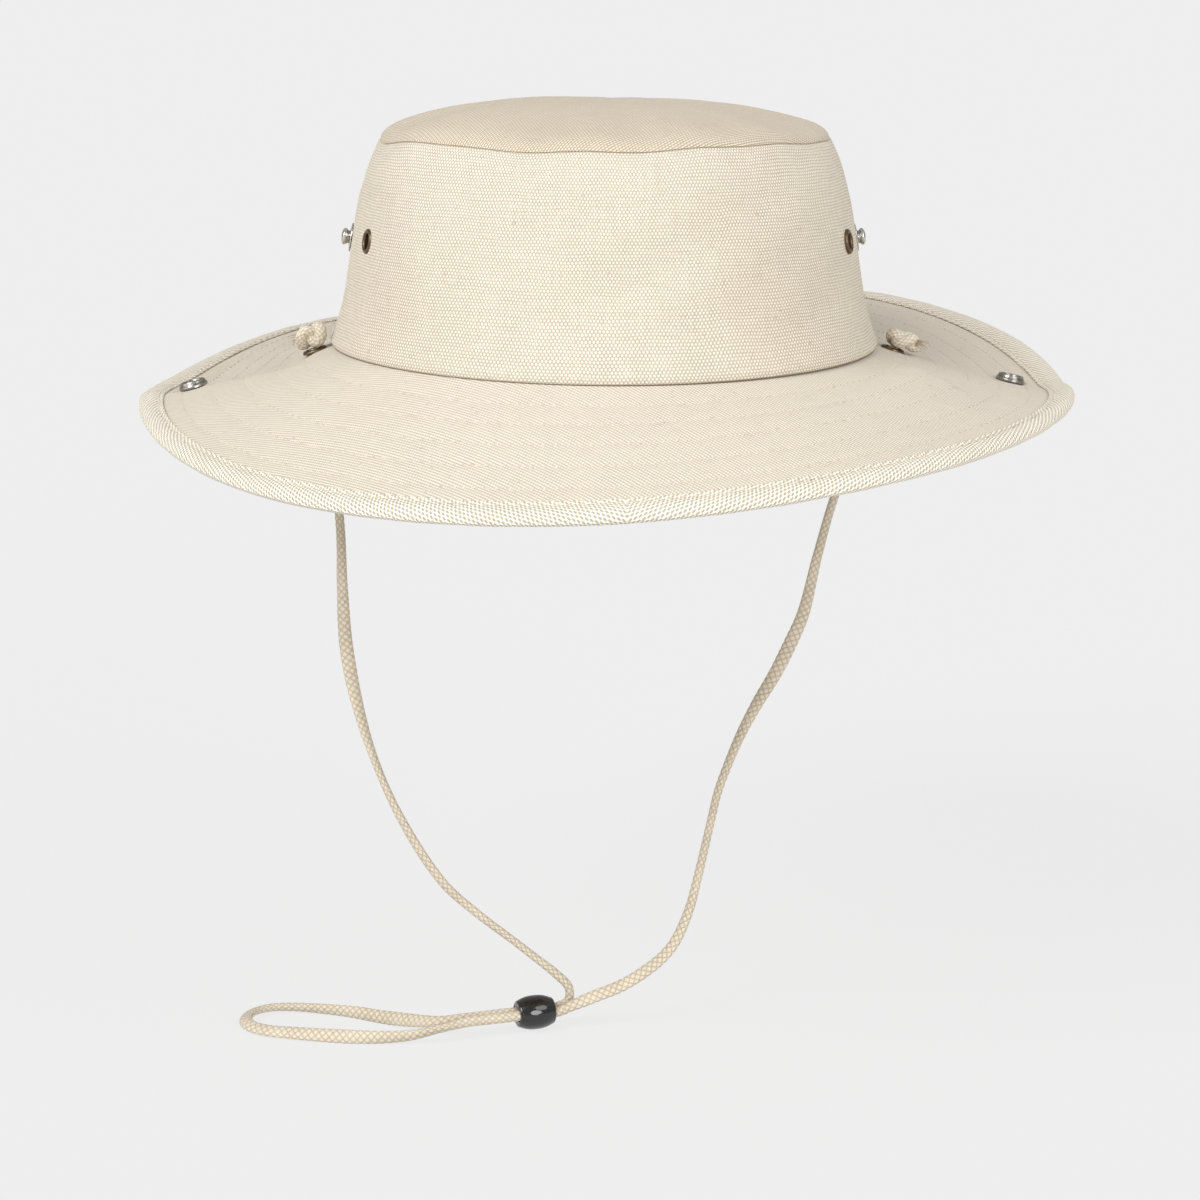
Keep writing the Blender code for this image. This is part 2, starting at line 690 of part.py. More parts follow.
def cord_bead():
    """A barrel bead with one slot through it for both strands."""
    half = BEAD_LENGTH / 2
    profile = [(0.0, half), (BEAD_RADIUS * 0.80, half), (BEAD_RADIUS * 0.93, half * 0.72),
               (BEAD_RADIUS, 0.0), (BEAD_RADIUS * 0.93, -half * 0.72), (BEAD_RADIUS * 0.80, -half),
               (0.0, -half)]
    mesh = turned_mesh("cord_bead", profile, TURNED_STEPS, closed=False)
    bead = add_piece("cord_bead", mesh, "black_plastic")
    shade(bead)
    across = Vector((-BEAD_AXIS.y, BEAD_AXIS.x, 0))
    place = Matrix((across, BEAD_AXIS.cross(across), BEAD_AXIS)).transposed().to_4x4()
    bead.matrix_world = Matrix.Translation(BEAD_CENTRE) @ place
    radius = CORD_DIAMETER / 2 + GAP
    shape = bmesh.new()
    for sign in (-1, 1):
        bmesh.ops.create_cone(shape, cap_ends=True, segments=16, radius1=radius, radius2=radius,
                              depth=2 * BEAD_LENGTH, matrix=Matrix.Translation((sign * LANE, 0, 0)))
    bmesh.ops.create_cube(shape, size=1.0,
                          matrix=Matrix.Diagonal((2 * LANE, 2 * radius * 0.96, 2 * BEAD_LENGTH * 0.9, 1.0)))
    mesh = bpy.data.meshes.new("bead_slot")
    shape.to_mesh(mesh)
    shape.free()
    slot = cutter_from("bead_slot", mesh, bead.matrix_world)
    cut(bead, slot)
    bead.modifiers["cut"].use_self = True


chin_cord()
for side, sign in SIDES.items():
    knot(side, sign)
cord_bead()


# ---- joints ----------------------------------------------------------------
def hang_on(empty_name, place, names):
    """Parents the named pieces to an empty on their joint's axis, where they are."""
    empty = bpy.data.objects.new(empty_name, None)
    HAT.objects.link(empty)
    empty.matrix_world = place
    for name in names:
        piece = bpy.data.objects[name]
        piece.parent = empty
        piece.matrix_parent_inverse = place.inverted()


for side, sign in SIDES.items():
    fold = Matrix.Translation((sign * FOLD_X, 0, FOLD_Z)) @ Matrix.Rotation(FOLD_TILT, 4, "X")
    moving = [layer.name for layer in flap_layers[side]]
    moving += [f"{side}_flap_binding", f"{side}_snap_socket", f"{side}_socket_cap"]
    hang_on(f"{side}_fold", fold, moving)
hang_on("bead_slide", frame_on(BEAD_CENTRE, BEAD_AXIS), ["cord_bead"])
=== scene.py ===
"""Looks of the boonie hat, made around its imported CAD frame.

Metres, in the frame's own axes: +Z up, the hat's front towards -Y, the origin at the
centre of the head opening. Angles round the hat start at the front (0) and grow
towards +X, so the left side of the model (-X) has negative angles.
"""

import math

import bmesh
import bpy
import numpy as np
from mathutils import Matrix, Quaternion, Vector


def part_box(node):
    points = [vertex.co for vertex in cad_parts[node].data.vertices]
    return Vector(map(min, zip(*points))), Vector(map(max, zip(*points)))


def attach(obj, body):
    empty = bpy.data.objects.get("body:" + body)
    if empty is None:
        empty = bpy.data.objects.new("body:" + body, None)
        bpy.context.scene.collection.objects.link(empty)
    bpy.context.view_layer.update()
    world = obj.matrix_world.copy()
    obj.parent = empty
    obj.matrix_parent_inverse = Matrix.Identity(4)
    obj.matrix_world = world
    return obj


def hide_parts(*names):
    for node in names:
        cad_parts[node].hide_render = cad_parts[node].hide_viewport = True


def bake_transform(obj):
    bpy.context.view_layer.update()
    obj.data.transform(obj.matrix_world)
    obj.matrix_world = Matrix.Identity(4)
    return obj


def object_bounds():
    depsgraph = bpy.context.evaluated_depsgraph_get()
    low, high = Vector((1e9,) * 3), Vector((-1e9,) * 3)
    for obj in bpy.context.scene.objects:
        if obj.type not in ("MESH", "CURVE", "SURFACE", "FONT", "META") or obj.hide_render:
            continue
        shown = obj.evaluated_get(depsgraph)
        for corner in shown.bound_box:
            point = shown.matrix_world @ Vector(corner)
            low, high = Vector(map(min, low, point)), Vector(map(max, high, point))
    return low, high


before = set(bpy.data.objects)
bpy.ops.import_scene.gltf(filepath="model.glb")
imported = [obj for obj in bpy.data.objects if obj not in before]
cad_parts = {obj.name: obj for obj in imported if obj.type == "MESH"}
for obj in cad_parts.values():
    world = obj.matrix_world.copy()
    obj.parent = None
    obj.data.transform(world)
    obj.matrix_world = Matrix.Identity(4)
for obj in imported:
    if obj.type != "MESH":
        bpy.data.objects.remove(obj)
cad_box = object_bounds()

SIDES = {"left": -1, "right": 1}
UV = "cloth"  # every cloth's UV map, in metres of cloth
WELD = 0.000002  # points closer than this are one
TURN = 2 * math.pi

# ---- driving sizes, from the frame where it has them ----
crown_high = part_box("crown_side")[1]
HALF_WIDTH = crown_high.x  # of the crown's foot, outside
HALF_LENGTH = crown_high.y
OVAL = HALF_LENGTH / HALF_WIDTH
TOP_SEAM = crown_high.z
CANVAS = 0.0012  # thickness of the crown's cloth
WALL_CLOTH = 0.0692  # length of the crown's wall, along the cloth
BRIM_WIDTH = 0.0625
BRIM_DROP = 0.0013
SLOPE_FRONT = math.radians(27)
SLOPE_LEFT, SLOPE_RIGHT = math.radians(18.5), math.radians(17)
SLOPE_BACK = math.radians(1.3)
LOPSIDED = math.radians(5)
CURL_LEFT, CURL_RIGHT = 0.0045, 0.0065  # how far the rim turns up at the sides
CURL_ROUND, CURL_OUT = 3.5, 8  # powers: towards front and back, and inwards
LIFT_LEFT, LIFT_RIGHT = 0.0012, 0.0020  # how much more it turns up just behind the sides
LIFT_ANGLE, LIFT_WIDE = math.radians(107), math.radians(17)
HALF_THICK = 0.00135  # of the brim's plies together
BINDING_WIDTH = 0.0080
BINDING_HIGH = 0.0025
SEWN_AT = 0.80  # share of the binding's width where it is sewn down
ROWS_FIRST = 0.0083  # stitch rows on the brim, out from the crown
ROWS_APART = 0.0100
ROWS = 5
STITCH = 0.0033  # length of one stitch with its gap
THREAD = 0.00017  # radius
EYELET_ANGLE = math.radians(86.5)
EYELET_OUT = 0.0042
VENT_ANGLES = {"front": math.radians(68), "back": math.radians(112)}
VENT_HEIGHT = 0.0350
STUD_HEIGHT = 0.0335
STUD_Y = -0.0012
SOCKET_OUT = 0.0446
SOCKET_Y = 0.0020
SEAT = 0.0004  # how far a washer and a knot sit off the cloth
HOLE = 0.0028  # radius of the holes in the cloth, under the eyelets
METAL_ANGLE = math.radians(88.5)  # about where the snaps and cord eyelets sit
DIP, RISE = 0.0026, 0.0017  # of the creases beside the left and the right eyelet
FRONT_SAG = 0.0013  # how much lower the crown's foot hangs in front

# ---- chin cord's route, as in the CAD model ----
CORD_DIAMETER = 0.0034
CORD_ROUND = CORD_DIAMETER / 2 * 0.92  # its radius without the bulge of its strands
LANE = 0.0019
BEAD_CENTRE = Vector((-0.0225, -0.0370, -0.2070))
BEAD_AXIS = Vector((-0.950, -0.312, 0.0)).normalized()
BEAD_LENGTH = 0.0120
BEAD_RADIUS = 0.0054
BEAD_STRAIGHT = 0.0230
BEAD_TRAVEL = 0.0150
LEFT_STRAND = (
    (-0.0872, -0.0066, -0.0170), (-0.0851, -0.0078, -0.0340), (-0.0829, -0.0095, -0.0565),
    (-0.0824, -0.0117, -0.0751), (-0.0813, -0.0142, -0.0937), (-0.0778, -0.0171, -0.1122),
    (-0.0720, -0.0204, -0.1306), (-0.0634, -0.0239, -0.1491), (-0.0511, -0.0276, -0.1674),
    (-0.0408, -0.0296, -0.1765), (-0.0290, -0.0314, -0.1853), (-0.0222, -0.0322, -0.1906),
    (-0.0160, -0.0323, -0.1957), (-0.0116, -0.0318, -0.2008), (-0.0119, -0.0315, -0.2052),
)
LOOP = (
    (-0.0530, -0.0425, -0.2079), (-0.0610, -0.0365, -0.2095), (-0.0704, -0.0292, -0.2108),
    (-0.0800, -0.0240, -0.2108), (-0.0896, -0.0205, -0.2108), (-0.0990, -0.0183, -0.2108),
    (-0.1063, -0.0186, -0.2108), (-0.1116, -0.0226, -0.2108), (-0.1138, -0.0293, -0.2108),
    (-0.1121, -0.0362, -0.2108), (-0.1068, -0.0408, -0.2108), (-0.0979, -0.0438, -0.2108),
    (-0.0885, -0.0462, -0.2108), (-0.0790, -0.0480, -0.2108), (-0.0699, -0.0492, -0.2106),
    (-0.0606, -0.0496, -0.2098), (-0.0525, -0.0485, -0.2083),
)
RIGHT_STRAND = (
    (-0.0110, -0.0362, -0.2054), (-0.0045, -0.0356, -0.2028), (0.0049, -0.0349, -0.1992),
    (0.0127, -0.0338, -0.1947), (0.0184, -0.0327, -0.1902), (0.0221, -0.0317, -0.1856),
    (0.0263, -0.0296, -0.1765), (0.0289, -0.0276, -0.1674), (0.0312, -0.0257, -0.1582),
    (0.0334, -0.0239, -0.1491), (0.0357, -0.0221, -0.1399), (0.0392, -0.0204, -0.1306),
    (0.0433, -0.0187, -0.1214), (0.0483, -0.0171, -0.1122), (0.0540, -0.0157, -0.1029),
    (0.0587, -0.0142, -0.0937), (0.0628, -0.0129, -0.0844), (0.0674, -0.0106, -0.0658),
    (0.0727, -0.0086, -0.0472), (0.0800, -0.0074, -0.0280), (0.0845, -0.0066, -0.0150),
)
FLOOR_Z = cad_box[0].z - 0.0004  # just under the cord's loop, the lowest part
KNOTS = {  # half sizes of each knot's coil, its height, how far out it leans
    "left": ((0.0036, 0.0036, 0.0019), 0.0035, -0.0006),
    "right": ((0.0046, 0.0036, 0.0011), 0.0024, 0.0026),
}


# ---- camera ----
def photo_camera():
    """At the photograph's viewing angle: a little above the brim, slightly from the left."""
    azimuth, pitch, roll = np.radians((-2.3, 11.2, 0.2))
    target, aside = Vector((0, 0, 0.1160)), 0.0009      # a metre ahead, and how far to its left
    level = Vector((-math.sin(azimuth), math.cos(azimuth), 0))
    right = Vector((level.y, -level.x, 0))
    forward = level * math.cos(pitch) - Vector((0, 0, 1)) * math.sin(pitch)
    data = bpy.data.cameras.new("photo_camera")
    data.sensor_width = 36.0
    data.lens = 95.8
    camera = link_new("photo_camera", data)
    camera.rotation_mode = "QUATERNION"
    camera.rotation_quaternion = forward.to_track_quat("-Z", "Y") @ Quaternion((0, 0, 1), roll)
    camera.location = target - level - right * aside
    bpy.context.scene.camera = camera


# ---- meshes from grids of points ----
def smooth(t):
    t = np.clip(t, 0.0, 1.0)
    return t * t * (3 - 2 * t)


def fade(t):
    """From 1 down to 0, as smooth goes from 0 up to 1."""
    return 1 - smooth(t)


def unit(vectors):
    return vectors / np.linalg.norm(vectors, axis=-1, keepdims=True)


def turns(count):
    """Even angles round a circle."""
    return np.linspace(0, TURN, count, endpoint=False)


def oval(width, angle, height):
    """Points on a level oval of the given half width."""
    points = width * np.sin(angle), -width * OVAL * np.cos(angle), height
    return np.stack(np.broadcast_arrays(*points), -1)


def outwards(angle):
    """The level way out of the oval."""
    return unit(np.stack([np.sin(angle), -np.cos(angle) / OVAL, np.zeros_like(angle)], -1))


def distances(line):
    """How far along a line each of its points is."""
    return np.concatenate([[0.0], np.cumsum(np.linalg.norm(np.diff(line, axis=0), axis=1))])


def stack_grid(*axes):
    """Two axes of numbers as one grid of pairs."""
    return np.stack(np.meshgrid(*axes, indexing="ij"), -1)


def link_new(name, data):
    made = bpy.data.objects.new(name, data)
    bpy.context.scene.collection.objects.link(made)
    return made


def add_object(mesh, look):
    """A piece named after its mesh, in one of the LOOKS."""
    piece = link_new(mesh.name, mesh)
    mesh.materials.clear()
    mesh.materials.append(LOOKS[look])
    return piece


def stands_for(piece, *nodes, body="root"):
    """Puts a piece on a body, in the place of CAD nodes."""
    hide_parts(*nodes)
    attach(piece, body)


def finish_mesh(mesh, weld=0.0, degrees=50):
    """Welds doubles, turns the faces outwards and shades the mesh smooth."""
    shape = bmesh.new()
    shape.from_mesh(mesh)
    if weld:
        bmesh.ops.remove_doubles(shape, verts=shape.verts, dist=weld)
    bmesh.ops.recalc_face_normals(shape, faces=shape.faces)
    shape.to_mesh(mesh)
    shape.free()
    mesh.shade_smooth()
    mesh.set_sharp_from_angle(angle=math.radians(degrees))


def build_mesh(name, points, quads, uvs, wide=()):
    """A mesh from points, quads of (point, uv) index pairs, and a few wider faces of them."""
    corners = np.concatenate([np.asarray(quads).reshape(-1, 2), *(np.asarray(face) for face in wide)])
    sizes = np.concatenate([np.full(len(quads), 4), [len(face) for face in wide]]).astype(int)
    mesh = bpy.data.meshes.new(name)
    mesh.vertices.add(len(points))
    mesh.vertices.foreach_set("co", np.asarray(points, np.float32).ravel())
    mesh.loops.add(len(corners))
    mesh.loops.foreach_set("vertex_index", corners[:, 0].astype(np.int32))
    mesh.polygons.add(len(sizes))
    mesh.polygons.foreach_set("loop_start", (np.cumsum(sizes) - sizes).astype(np.int32))
    mesh.update(calc_edges=True)
    layer = mesh.uv_layers.new(name=UV)
    layer.data.foreach_set("uv", np.asarray(uvs, np.float32)[corners[:, 1].astype(int)].ravel())
    mesh.validate()
    return mesh


def grid_quads(rows, cols, stride, uv_stride, wrap):
    """Index pairs of the quads between the points of a grid."""
    r, c = np.meshgrid(np.arange(rows - 1), np.arange(cols if wrap else cols - 1), indexing="ij")
    quads = []
    for dr, dc in ((0, 0), (0, 1), (1, 1), (1, 0)):
        point = (r + dr) * stride + (c + dc) % stride
        quads.append(np.stack([point, (r + dr) * uv_stride + c + dc], -1))
    return np.stack(quads, -2).reshape(-1, 4, 2)


def shell_mesh(name, outer, inner, uv, closed=False, weld=0.0):
    """A closed solid between two grids of points (rows, columns, 3), with one grid of UVs.

    A closed grid joins its last column to its first, and its UV grid has a column more."""
    rows, cols = outer.shape[:2]
    uv_cols = uv.shape[1]
    side = rows * cols
    skin = grid_quads(rows, cols, cols, uv_cols, closed)
    back = skin[:, ::-1].copy()
    back[..., 0] += side

    def pairs(r, c, uv_c):
        return np.stack([r * cols + c, r * uv_cols + uv_c], -1)

    c, r = np.arange(cols if closed else cols - 1), np.arange(rows - 1)
    edges = [(pairs(row, c, c), pairs(row, (c + 1) % cols, c + 1)) for row in (0, rows - 1)]
    if not closed:
        edges += [(pairs(r, col, col), pairs(r + 1, col, col)) for col in (0, cols - 1)]
    borders = [np.stack([a, b, b + (side, 0), a + (side, 0)], 1) for a, b in edges]
    points = np.concatenate([outer.reshape(-1, 3), inner.reshape(-1, 3)])
    mesh = build_mesh(name, points, np.concatenate([skin, back, *borders]), uv.reshape(-1, 2))
    finish_mesh(mesh, weld)
    return mesh


def tube_mesh(name, rings, uv):
    """A closed tube through rings of points (rings, sides, 3); its UV grid has a column more."""
    count, sides = rings.shape[:2]
    c = np.arange(sides)
    ends = [np.stack([r * sides + c, r * (sides + 1) + c], 1) for r in (0, count - 1)]
    mesh = build_mesh(name, rings.reshape(-1, 3), grid_quads(count, sides, sides, sides + 1, True),
                      uv.reshape(-1, 2), ends)
    finish_mesh(mesh)
    return mesh


def turned_mesh(name, profile, steps=72):
    """A closed solid: a profile of (radius, height) pairs turned about Z."""
    angles = turns(steps)
    profile = np.array(profile, float)
    rings = np.stack([
        np.stack([r * np.cos(angles), r * np.sin(angles), np.full(steps, z)], 1) for r, z in profile])
    uv = stack_grid(distances(profile), np.linspace(0, TURN, steps + 1))
    uv[..., 1] *= profile[:, :1].max()
    quads = grid_quads(len(profile), steps, steps, steps + 1, True)
    if profile[0, 0] > 1e-9:
        last = (len(profile) - 1) * np.array([steps, steps + 1])
        c = np.arange(steps)
        a, b = (np.stack([k % steps, k], 1) for k in (c, c + 1))
        quads = np.concatenate([quads, np.stack([a + last, b + last, b, a], 1)])
    mesh = build_mesh(name, rings.reshape(-1, 3), quads, uv.reshape(-1, 2))
    finish_mesh(mesh, WELD, degrees=35)
    return mesh


def wire_mesh(line, radius, sides, first=(0, 1, 0)):
    """A thin round tube along a line, to be joined with others."""
    one, two = carried_frames(line, first)
    around = turns(sides)[:, None]
    rings = line[:, None] + radius * (one[:, None] * np.cos(around) + two[:, None] * np.sin(around))
    return tube_mesh("wire", rings, np.zeros((len(line), sides + 1, 2)))


def joined(name, meshes):
    shape = bmesh.new()
    for mesh in meshes:
        shape.from_mesh(mesh)
    made = bpy.data.meshes.new(name)
    shape.to_mesh(made)
    shape.free()
    made.shade_smooth()
    return made


def rounded(profile, cuts=3, share=0.3):
    """A closed profile with its corners rounded off; a corner on the axis stays."""
    made = []
    corners = np.array(profile)
    for before, here, after in zip(np.roll(corners, 1, 0), corners, np.roll(corners, -1, 0)):
        if here[0] < 1e-9:
            made.append(here)
            continue
        a, b = here + (before - here) * share, here + (after - here) * share
        for k in range(cuts + 1):
            t = k / cuts
            made.append((1 - t) ** 2 * a + 2 * t * (1 - t) * here + t * t * b)
    return made


def through_points(points, per_span=24):
    """A smooth curve through the points (centripetal Catmull-Rom), finely sampled."""
    padded = [points[0] * 2 - points[1], *points, points[-1] * 2 - points[-2]]
    curve = []
    for p0, p1, p2, p3 in zip(padded, padded[1:], padded[2:], padded[3:]):
        t1 = math.sqrt((p1 - p0).length)
        t2 = t1 + math.sqrt((p2 - p1).length)
        t3 = t2 + math.sqrt((p3 - p2).length)
        for i in range(per_span):
            t = t1 + (t2 - t1) * i / per_span
            a1 = p0 + (p1 - p0) * (t / t1)
            a2 = p1 + (p2 - p1) * ((t - t1) / (t2 - t1))
            a3 = p2 + (p3 - p2) * ((t - t2) / (t3 - t2))
            b1 = a1 + (a2 - a1) * (t / t2)
            b2 = a2 + (a3 - a2) * ((t - t1) / (t3 - t1))
            curve.append(b1 + (b2 - b1) * ((t - t1) / (t2 - t1)))
    return np.array([*curve, points[-1]], float)


def evenly(line, spacing):
    """Points along a line, the given spacing apart, and their distances along it."""
    along = distances(line)
    want = np.linspace(0, along[-1], max(2, round(along[-1] / spacing) + 1))
    return np.stack([np.interp(want, along, line[:, k]) for k in range(3)], 1), want


def carried_frames(line, first=(0, 1, 0)):
    """Two directions across a line at each point, carried along it without twist."""
    tangent = unit(np.gradient(line, axis=0))
    across = np.zeros_like(line)
    here = np.array(first, float)
    for i, t in enumerate(tangent):
        here = here - t * here.dot(t)
        here /= np.linalg.norm(here)
        across[i] = here
    return across, np.cross(tangent, across)


# ---- materials ----
WHITE = (1.0, 1.0, 1.0, 1.0)


class Look:
    """A material, and short ways to add the nodes that it is made of."""

    def __init__(self, name, colour, roughness, constants):
        self.made = bpy.data.materials.new(name)
        self.made.use_nodes = True
        self.tree = self.made.node_tree
        self.shader = self.tree.nodes["Principled BSDF"]
        for socket, value in {"Base Color": (*colour, 1.0), "Roughness": roughness, **constants}.items():
            self.into(socket, value)

    def into(self, socket, value):
        """Puts a value, or what a node makes, into a socket of the shader."""
        self.link(value, self.shader.inputs[socket])

    def link(self, value, socket):
        if isinstance(value, (int, float, tuple)):
            socket.default_value = value
        else:
            self.tree.links.new(value, socket)

    def add(self, kind, sockets=(), **settings):
        """A node with these settings, and (socket, value or link) pairs put into it."""
        node = self.tree.nodes.new("ShaderNode" + kind)
        for key, value in settings.items():
            setattr(node, key, value)
        for socket, value in sockets:
            self.link(value, node.inputs[socket])
        return node.outputs

    def math(self, operation, *values, clamp=False):
        return self.add("Math", enumerate(values), operation=operation, use_clamp=clamp)[0]

    def times(self, a, b):
        return self.math("MULTIPLY", a, b)

    def plus(self, a, b, clamp=False):
        return self.math("ADD", a, b, clamp=clamp)

    def minus(self, a, b):
        return self.math("SUBTRACT", a, b)

    def times_plus(self, a, b, c, clamp=False):
        return self.math("MULTIPLY_ADD", a, b, c, clamp=clamp)

    def uv(self):
        cloth = self.add("UVMap", uv_map=UV)[0]
        return tuple(self.add("SeparateXYZ", [(0, cloth)]))[:2]

    def place(self):
        """The point on the piece itself, in metres."""
        return self.add("TexCoord")["Object"]

    def join(self, x, y, z=0.0):
        return self.add("CombineXYZ", enumerate((x, y, z)))[0]

    def noise(self, scale, detail=2.0, at=None):
        """Soft noise at a point, or else at the point on the piece."""
        vector = self.place() if at is None else at
        return self.add("TexNoise", [("Scale", scale), ("Detail", detail), ("Vector", vector)])[0]

    def step(self, value, low, high, to_low=0.0, to_high=1.0):
        limits = [("From Min", low), ("From Max", high), ("To Min", to_low), ("To Max", to_high)]
        return self.add("MapRange", [("Value", value), *limits], interpolation_type="SMOOTHSTEP")[0]

    def mix(self, share, a, b):
        a, b = ((*c, 1.0) if isinstance(c, tuple) else c for c in (a, b))
        return self.add("Mix", [("Factor", share), ("A", a), ("B", b)], data_type="RGBA")["Result"]

    def bump(self, height, distance, strength=1.0):
        return self.add("Bump", [("Strength", strength), ("Distance", distance), ("Height", height)])[0]


def woven(name, light, dark, row, yarn, turn=0.0, rows=1.0, dots=1.1, relief=0.00012, flecks=0.5,
          edges=None):
    """Plain-weave cotton duck: staggered floats in rows, slubs, fine colour changes, seed flecks.

    row and yarn are the weave's spacings; edges are the two ends of the cloth's shown
    part, and beyond them it is painted dark, as the shade in the grooves where it meets the next piece."""
    n = Look(name, light, 0.88, CANVAS_SHINE)
    u, v = n.uv()
    wander = n.times(n.minus(n.noise(70.0, 1.0, n.join(u, v)), 0.5), row * 1.3)
    u, v = n.plus(u, wander), n.minus(v, wander)
    cos, sin = math.cos(turn), math.sin(turn)
    along = n.plus(n.times(u, cos), n.times(v, sin))
    across = n.minus(n.times(v, cos), n.times(u, sin))
    a, b = n.times(along, math.pi / yarn), n.times(across, math.pi / row)
    ribs = n.math("COSINE", n.times(b, 2.0))
    floats = n.times(n.math("COSINE", a), n.math("COSINE", b))
    height = n.times_plus(ribs, 0.25 * rows, n.times_plus(floats, 0.25 * dots, 0.5))
    slub_a = n.noise(1.0, 1.0, n.join(n.times(a, 0.02), n.times(b, 0.3)))
    slub_b = n.noise(1.0, 1.0, n.join(n.times(a, 0.3), n.times(b, 0.02), 7.0))
    slub = n.minus(n.times(n.plus(slub_a, slub_b), 0.5), 0.5)
    cloud = n.minus(n.noise(30.0), 0.5)
    fuzz = n.minus(n.noise(2300.0), 0.5)
    shade = n.times_plus(slub, 0.26, height)
    shade = n.times_plus(cloud, 0.07, shade)
    shade = n.times_plus(fuzz, 0.3, shade, clamp=True)
    colour = n.mix(n.step(shade, 0.18, 0.82), dark, light)
    spots = n.times(n.step(n.noise(620.0, 0.0), 0.76, 0.81),
                    n.step(n.noise(120.0, 1.0), 0.50, 0.62))
    colour = n.mix(n.times(spots, flecks), colour, SEED)
    # painted shade: the cloth is darkened beyond its shown part, in the grooves at its seams
    if edges:
        down = n.uv()[1]
        begins, ends = ((edge - 0.0002, edge + 0.0002) for edge in edges)
        inside = n.times(n.step(down, *begins), n.step(down, *ends, 1.0, 0.0))
        colour = n.mix(inside, SEAM_SHADE, colour)
    n.into("Base Color", colour)
    n.into("Roughness", n.step(height, 0.2, 0.9, 0.95, 0.82))
    n.into("Normal", n.bump(n.times_plus(slub, 0.5, height), relief))
    return n.made


def braided(name, light, dark, pitch):
    """Cotton cord: the strands of its braid, fibres along them, uneven tone, and painted shade in the
    hollows between the strands.
    """
    n = Look(name, light, 0.9, CORD_SHINE)
    u, v = n.uv()
    a = n.times(n.plus(u, v), math.pi / pitch)
    b = n.times(n.minus(u, v), math.pi / pitch)
    wave = n.times(n.math("SINE", a), n.math("SINE", b))
    lobes = n.math("POWER", n.math("ABSOLUTE", wave), 0.5)
    fibre = n.noise(2400.0)
    cloud = n.noise(90.0)
    # the colour is darker where the strands' lobes are low: painted shade in the braid's hollows
    shade = n.plus(n.times(lobes, 0.6), n.times(fibre, 0.35))
    shade = n.plus(shade, n.times(n.minus(cloud, 0.5), 0.5), clamp=True)
    n.into("Base Color", n.mix(n.step(shade, 0.1, 0.85), dark, light))
    n.into("Normal", n.bump(n.plus(lobes, n.times(fibre, 0.4)), 0.00018))
    n.into("Roughness", n.step(lobes, 0.0, 1.0, 0.97, 0.85))
    return n.made


def sewing_thread(name, light, dark):
    """Spun cotton thread with its twist, with painted shade where it goes into the cloth."""
    n = Look(name, light, 0.85, THREAD_SHINE)
    u, v = n.uv()
    twist = n.math("SINE", n.times(n.plus(u, n.times(v, 1.3)), 5200.0))
    shade = n.times_plus(twist, 0.25, n.noise(2600.0))
    # painted shade at each stitch's two ends, where the thread dips into the cloth, stronger at some
    # stitches than others
    from_middle = n.math("ABSOLUTE", n.minus(n.math("FRACT", n.math("DIVIDE", u, STITCH)), 0.5))
    uneven = n.step(n.noise(160.0, 0.0), 0.42, 0.62, 0.1, 0.9)
    hole = n.times(n.step(from_middle, 0.36, 0.42), uneven)
    colour = n.mix(n.step(shade, 0.1, 1.0), dark, light)
    n.into("Base Color", n.mix(hole, colour, HOLE_SHADE))
    n.into("Normal", n.bump(shade, 0.00005))
    return n.made


def metal(name, bright, dull, roughness, patina):
    """Plated metal: dull in its hollows and in patches, brighter where it is rubbed."""
    n = Look(name, bright, roughness, {"Metallic": 1.0})
    rubbed = n.add("NewGeometry")["Pointiness"]
    patches = n.noise(900.0, 4.0)
    share = n.plus(n.step(rubbed, 0.44, 0.54), n.times(n.minus(patches, 0.5), patina), clamp=True)
    n.into("Base Color", n.mix(share, dull, bright))
    n.into("Roughness", n.step(patches, 0.3, 0.7, roughness * 0.8, roughness * 1.35))
    n.into("Normal", n.bump(n.noise(2600.0), 0.00002, 0.6))
    return n.made


def black_plastic(name):
    """Polished moulded plastic, with faint scuffs."""
    n = Look(name, (0.008, 0.007, 0.006), 0.12, POLISH)
    scuffs = n.noise(1400.0, 5.0)
    n.into("Roughness", n.step(scuffs, 0.45, 0.75, 0.08, 0.26))
    colour = n.mix(n.step(scuffs, 0.5, 0.8), (0.006, 0.005, 0.005), (0.020, 0.017, 0.014))
    n.into("Base Color", colour)
    n.into("Normal", n.bump(n.noise(500.0, 1.0), 0.00003, 0.5))
    return n.made


